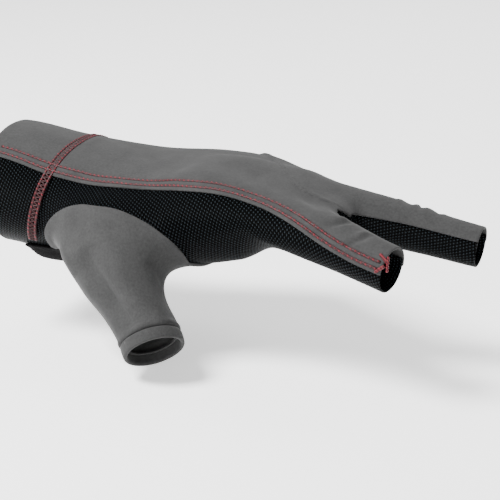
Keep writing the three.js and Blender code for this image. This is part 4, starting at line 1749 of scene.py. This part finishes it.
@dataclass
class Stitching:
    """Rows of red stitches along the seams."""

    tailor: Tailor
    thread: bpy.types.Material
    # The looper and cover thread's finish: partly the red thread and partly painted shade, darker
    # where it lies low between the stitches
    under: bpy.types.Material
    pitch: float = 1.9
    length: float = 1.35
    width: float = 0.92
    lift: float = 0.25
    dip: float = 0.9
    under_width: float = 0.72
    under_share: float = 1.6
    under_lift: float = 0.12
    under_sides: int = 6
    first_row: float = 1.5
    row_gap: float = 2.9
    ring_row: float = 1.4
    cover_pitch: float = 0.85
    cover_length: float = 4.2
    cover_lift: float = 0.1
    cover_lean: float = 0.3
    tack_stitches: int = 9
    tack_lift: float = 0.4
    tack_lean: float = 0.35
    tack_height: float = 1.3
    border_start: Place = (1, -24, 14)
    far_start: Place = (1, 30, 2)
    ring_start: Place = (17, -27, -15)
    ring_way: Place = (0, -0.3, 1)
    end_gap: float = 1.0
    strap_gap: float = 0.5

    def stitch_shape(self) -> tuple[np.ndarray, np.ndarray]:
        """Models one stitch, a short rounded thread that dips at both ends.

        Returns:
            Its points and its triangles, from -1 to 1 along each axis.
        """
        clear_selection()
        bpy.ops.mesh.primitive_uv_sphere_add(segments=6, ring_count=5, radius=1)
        ball = bpy.context.object
        bpy.ops.object.mode_set(mode="EDIT")
        bpy.ops.mesh.quads_convert_to_tris()
        bpy.ops.object.mode_set(mode="OBJECT")
        points = np.array([vertex.co[:] for vertex in ball.data.vertices])
        faces = np.array([face.vertices[:] for face in ball.data.polygons])
        bpy.data.objects.remove(ball)
        turned = points[:, [2, 0, 1]]
        turned[:, 2] -= self.dip * turned[:, 0] ** 2
        return turned, faces

    def lay(self, name: str, places: np.ndarray, ways: Sequence[np.ndarray], size: Place,
            material: bpy.types.Material) -> None:
        """Makes one piece of many stitches.

        Args:
            name: The piece's name.
            places: The middle of each stitch.
            ways: The way along each stitch, across it and out of the cloth.
            size: A stitch's length, width and height.
            material: The thread's finish.
        """
        shape, faces = self.stitch_shape()
        points = places[:, None] + sum(
            way[:, None] * shape[None, :, n:n + 1] * size[n] / 2 for n, way in enumerate(ways))
        joined = faces[None] + np.arange(len(places))[:, None, None] * len(shape)
        piece = new_object(name, points.reshape(-1, 3), joined.reshape(-1, 3).tolist(), material)
        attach(piece, "root")
        LOG.info("%s: %d stitches", name, len(places))

    def zigzag(self, count: int, lean: float) -> np.ndarray:
        """Gives how each stitch leans, to one side and the other in turn."""
        return np.where(np.arange(count) % 2, lean, -lean)[:, None]

    def row(self, name: str, path: np.ndarray) -> None:
        """Makes one row of stitches along a path on the form, over its looper thread, whose darker
        red is partly painted shade.

        Args:
            name: The piece's name.
            path: The path, on the form.
        """
        form = self.tailor.form
        ends = evenly(path, self.pitch)
        middle = form.onto((ends[1:] + ends[:-1]) / 2, 2)
        along = unit(ends[1:] - ends[:-1])
        outward = form.normals(middle)
        ways = (along, unit(np.cross(outward, along)), outward)
        self.lay(name, self.tailor.lifted(middle, self.lift), ways,
                 (self.length, self.width, self.width), self.thread)
        self.looper(name.replace("stitches", "looper_thread"), path)

    def cover(self, name: str, path: np.ndarray) -> None:
        """Makes the cover thread that crosses from row to row over the ring seam, in a red
        darkened partly by painted shade.

        Args:
            name: The piece's name.
            path: The path, on the form.
        """
        run = evenly(path, self.cover_pitch)
        along = unit(np.gradient(run, axis=0))
        outward = self.tailor.form.normals(run)
        lean = self.zigzag(len(run), self.cover_lean)
        ways = (unit(np.cross(outward, along) + along * lean), -along, outward)
        self.lay(name, self.tailor.lifted(run, self.cover_lift), ways,
                 (self.cover_length, self.under_width, self.under_width), self.under)

    def looper(self, name: str, path: np.ndarray) -> None:
        """Makes the looper thread that runs under a row of stitches, in a red darkened partly by
        painted shade between the stitches.

        Args:
            name: The piece's name.
            path: The path, on the form.
        """
        run, sides = evenly(path, self.pitch / 2), self.under_sides
        along = unit(np.gradient(run, axis=0))
        outward = self.tailor.form.normals(run)
        across = unit(np.cross(outward, along)) * self.under_share
        turns = (2 * math.pi * np.arange(sides) / sides)[None, :, None]
        around = across[:, None] * np.cos(turns) + outward[:, None] * np.sin(turns)
        ring = self.tailor.lifted(run, self.under_lift)[:, None] + around * self.under_width / 2
        faces: list[list[int]] = []
        for n in range(len(run) - 1):
            for side in range(sides):
                a, b = n * sides + side, n * sides + (side + 1) % sides
                faces.append([a, b, b + sides, a + sides])
        last = (len(run) - 1) * sides
        faces += [list(range(sides))[::-1], [last + side for side in range(sides)]]
        piece = new_object(name, ring.reshape(-1, 3), faces, self.under)
        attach(piece, "root")

    def tack(self, name: str, centre: Place, heading: Place, size: Span) -> None:
        """Makes a bar tack, a short dense zigzag of thread over the end of a row.

        Args:
            name: The tack's name.
            centre: Its middle, near the form.
            heading: The way that it runs.
            size: Its length and its width.
        """
        form, count = self.tailor.form, self.tack_stitches
        middle = form.onto(vec(*centre)[None], 4)
        outward = form.normals(middle)
        along = vec(*heading)[None]
        along = unit(along - outward * dot(outward, along)[:, None])
        shares = (np.arange(count)[:, None] + 0.5) / count - 0.5
        places = form.onto(middle + along * size[0] * shares, 2)
        side = unit(np.cross(outward, along) + along * self.zigzag(count, self.tack_lean))
        ways = (side, np.cross(outward, side), np.repeat(outward, count, axis=0))
        self.lay(name, self.tailor.lifted(places, self.tack_lift), ways,
                 (size[1], self.width, self.width * self.tack_height), self.thread)

    def build(self) -> None:
        """Makes the rows beside the grey edge, the ring seam and the bar tacks."""
        form, forward = self.tailor.form, vec(1, 0, 0)

        def along_border(start: Place, end: Field) -> np.ndarray:
            """Gives the grey edge's path from the cuff mouth to where it ends."""
            return form.trace(form.above_border, vec(*start), forward, lambda p: np.minimum(
                -end(p) - self.end_gap, form.mouth(p)))

        sides = (("border", along_border(self.border_start, form.index_mouth), 1),
                 ("far_border", along_border(self.far_start, form.opening), -1))
        rows = (("lower", self.first_row), ("upper", self.first_row + self.row_gap))
        for side, path, way in sides:
            for level, shift in rows:
                self.row(f"{side}_stitches_{level}", form.beside(path, way * shift))
        ring = form.trace(form.ring, vec(*self.ring_start), vec(*self.ring_way),
                          lambda p: -form.strap(p) - self.strap_gap)
        self.cover("ring_cover_thread", ring)
        self.row("ring_stitches_back", form.beside(ring, -self.ring_row))
        self.row("ring_stitches_front", form.beside(ring, self.ring_row))
        for name, centre, heading, size in TACKS:
            self.tack(name, centre, heading, size)


# The soft lights: name, place, side in metres and power in watts
LIGHTS = (
    ("key_light", (-420, -420, 900), 0.4, 37),
    ("fill_light", (150, -1100, 250), 0.9, 5),
    ("rim_light", (200, 800, 700), 1.0, 8),
)


@dataclass
class Studio:
    """The floor, the light and the camera of the photograph's view."""

    floor_height: float = -54.0
    floor_half: float = 6000.0
    paper: str = "#fafafa"
    paper_glow: float = 0.8
    daylight: float = 0.42
    aim: Place = (90, -10, -10)
    azimuth: float = 19.377
    elevation: float = 17.299
    roll: float = 0.742
    distance: float = 700.0
    target: Place = (90.114, 27.057, -24.853)
    focal_pixels: float = 1701.7
    frame_pixels: float = 500.0
    sensor: float = 36.0

    def camera(self) -> None:
        """Sets the camera where the photograph was taken from."""
        a, e, r = (math.radians(v) for v in (self.azimuth, self.elevation, self.roll))
        back = Vector((math.cos(e) * math.sin(a), -math.cos(e) * math.cos(a), math.sin(e)))
        right = Vector((math.cos(a), math.sin(a), 0))
        up = back.cross(right)
        turned_right = right * math.cos(r) + up * math.sin(r)
        turned_up = up * math.cos(r) - right * math.sin(r)
        data = bpy.data.cameras.new("camera")
        data.sensor_width = self.sensor
        data.lens = self.focal_pixels / self.frame_pixels * self.sensor
        camera = bpy.data.objects.new("camera", data)
        place = (Vector(self.target) + back * self.distance) * MM
        turn = Matrix((turned_right, turned_up, back)).transposed().to_4x4()
        camera.matrix_world = Matrix.Translation(place) @ turn
        bpy.context.scene.collection.objects.link(camera)
        bpy.context.scene.camera = camera

    def light(self, name: str, place: Place, size: float, power: float) -> None:
        """Adds one soft square light that points at the glove.

        Args:
            name: The light's name.
            place: Where it stands.
            size: Its side in metres.
            power: Its power in watts.
        """
        data = bpy.data.lights.new(name, "AREA")
        data.shape = "SQUARE"
        data.size = size
        data.energy = power
        lamp = bpy.data.objects.new(name, data)
        lamp.location = Vector(place) * MM
        lamp.rotation_mode = "QUATERNION"
        toward = (Vector(self.aim) - Vector(place)).normalized()
        lamp.rotation_quaternion = toward.to_track_quat("-Z", "Y")
        bpy.context.scene.collection.objects.link(lamp)

    def floor(self) -> None:
        """Makes the pale floor, which glows a little so that it stays white in the shade."""
        corners = vec(-1, -1, 0, 1, -1, 0, 1, 1, 0, -1, 1, 0).reshape(4, 3) * self.floor_half
        corners[:, 2] = self.floor_height
        paper, tree = new_material("studio_paper")
        shader = add_node(tree, "BsdfPrincipled", inputs={
            "Base Color": linear(self.paper), "Roughness": 0.9, "Specular IOR Level": 0.1,
            "Emission Color": (1, 1, 1, 1), "Emission Strength": self.paper_glow})
        add_node(tree, "OutputMaterial", inputs={"Surface": shader.outputs["BSDF"]})
        new_object("studio_floor", corners, [[0, 1, 2, 3]], paper)

    def build(self) -> None:
        """Makes the floor and the soft light, and sets the camera."""
        self.floor()
        for name, place, size, power in LIGHTS:
            self.light(name, place, size, power)
        world = bpy.data.worlds.new("studio_world")
        world.use_nodes = True
        background = world.node_tree.nodes["Background"]
        background.inputs["Color"].default_value = (1, 1, 1, 1)
        background.inputs["Strength"].default_value = self.daylight
        bpy.context.scene.world = world
        self.camera()


def main() -> None:
    """Builds the glove piece by piece, and the studio round it."""
    logging.basicConfig(level=logging.INFO, format="%(message)s")
    grey = WarpKnit().material()
    mesh = SpacerMesh(angle=-22.0).material()
    strip = SpacerMesh(name="spacer_mesh_polyester_black_strip").material()
    tailor = Tailor()
    Cuff(tailor, grey, mesh).build()
    HandPanels(tailor, grey, mesh, strip).build()
    ThumbStall(tailor, grey).build()
    WristStrap(tailor, LoopPile().material()).build()
    thread = SewingThread().material()
    # The looper and cover thread: the red thread, darkened by painted shade where it lies low
    # between the stitches
    under = SewingThread(name="sewing_thread_polyester_red_painted_shade", light="#34040a",
                         dark="#180204").material()
    Stitching(tailor, thread, under).build()
    Studio().build()


if __name__ == "__main__":
    main()
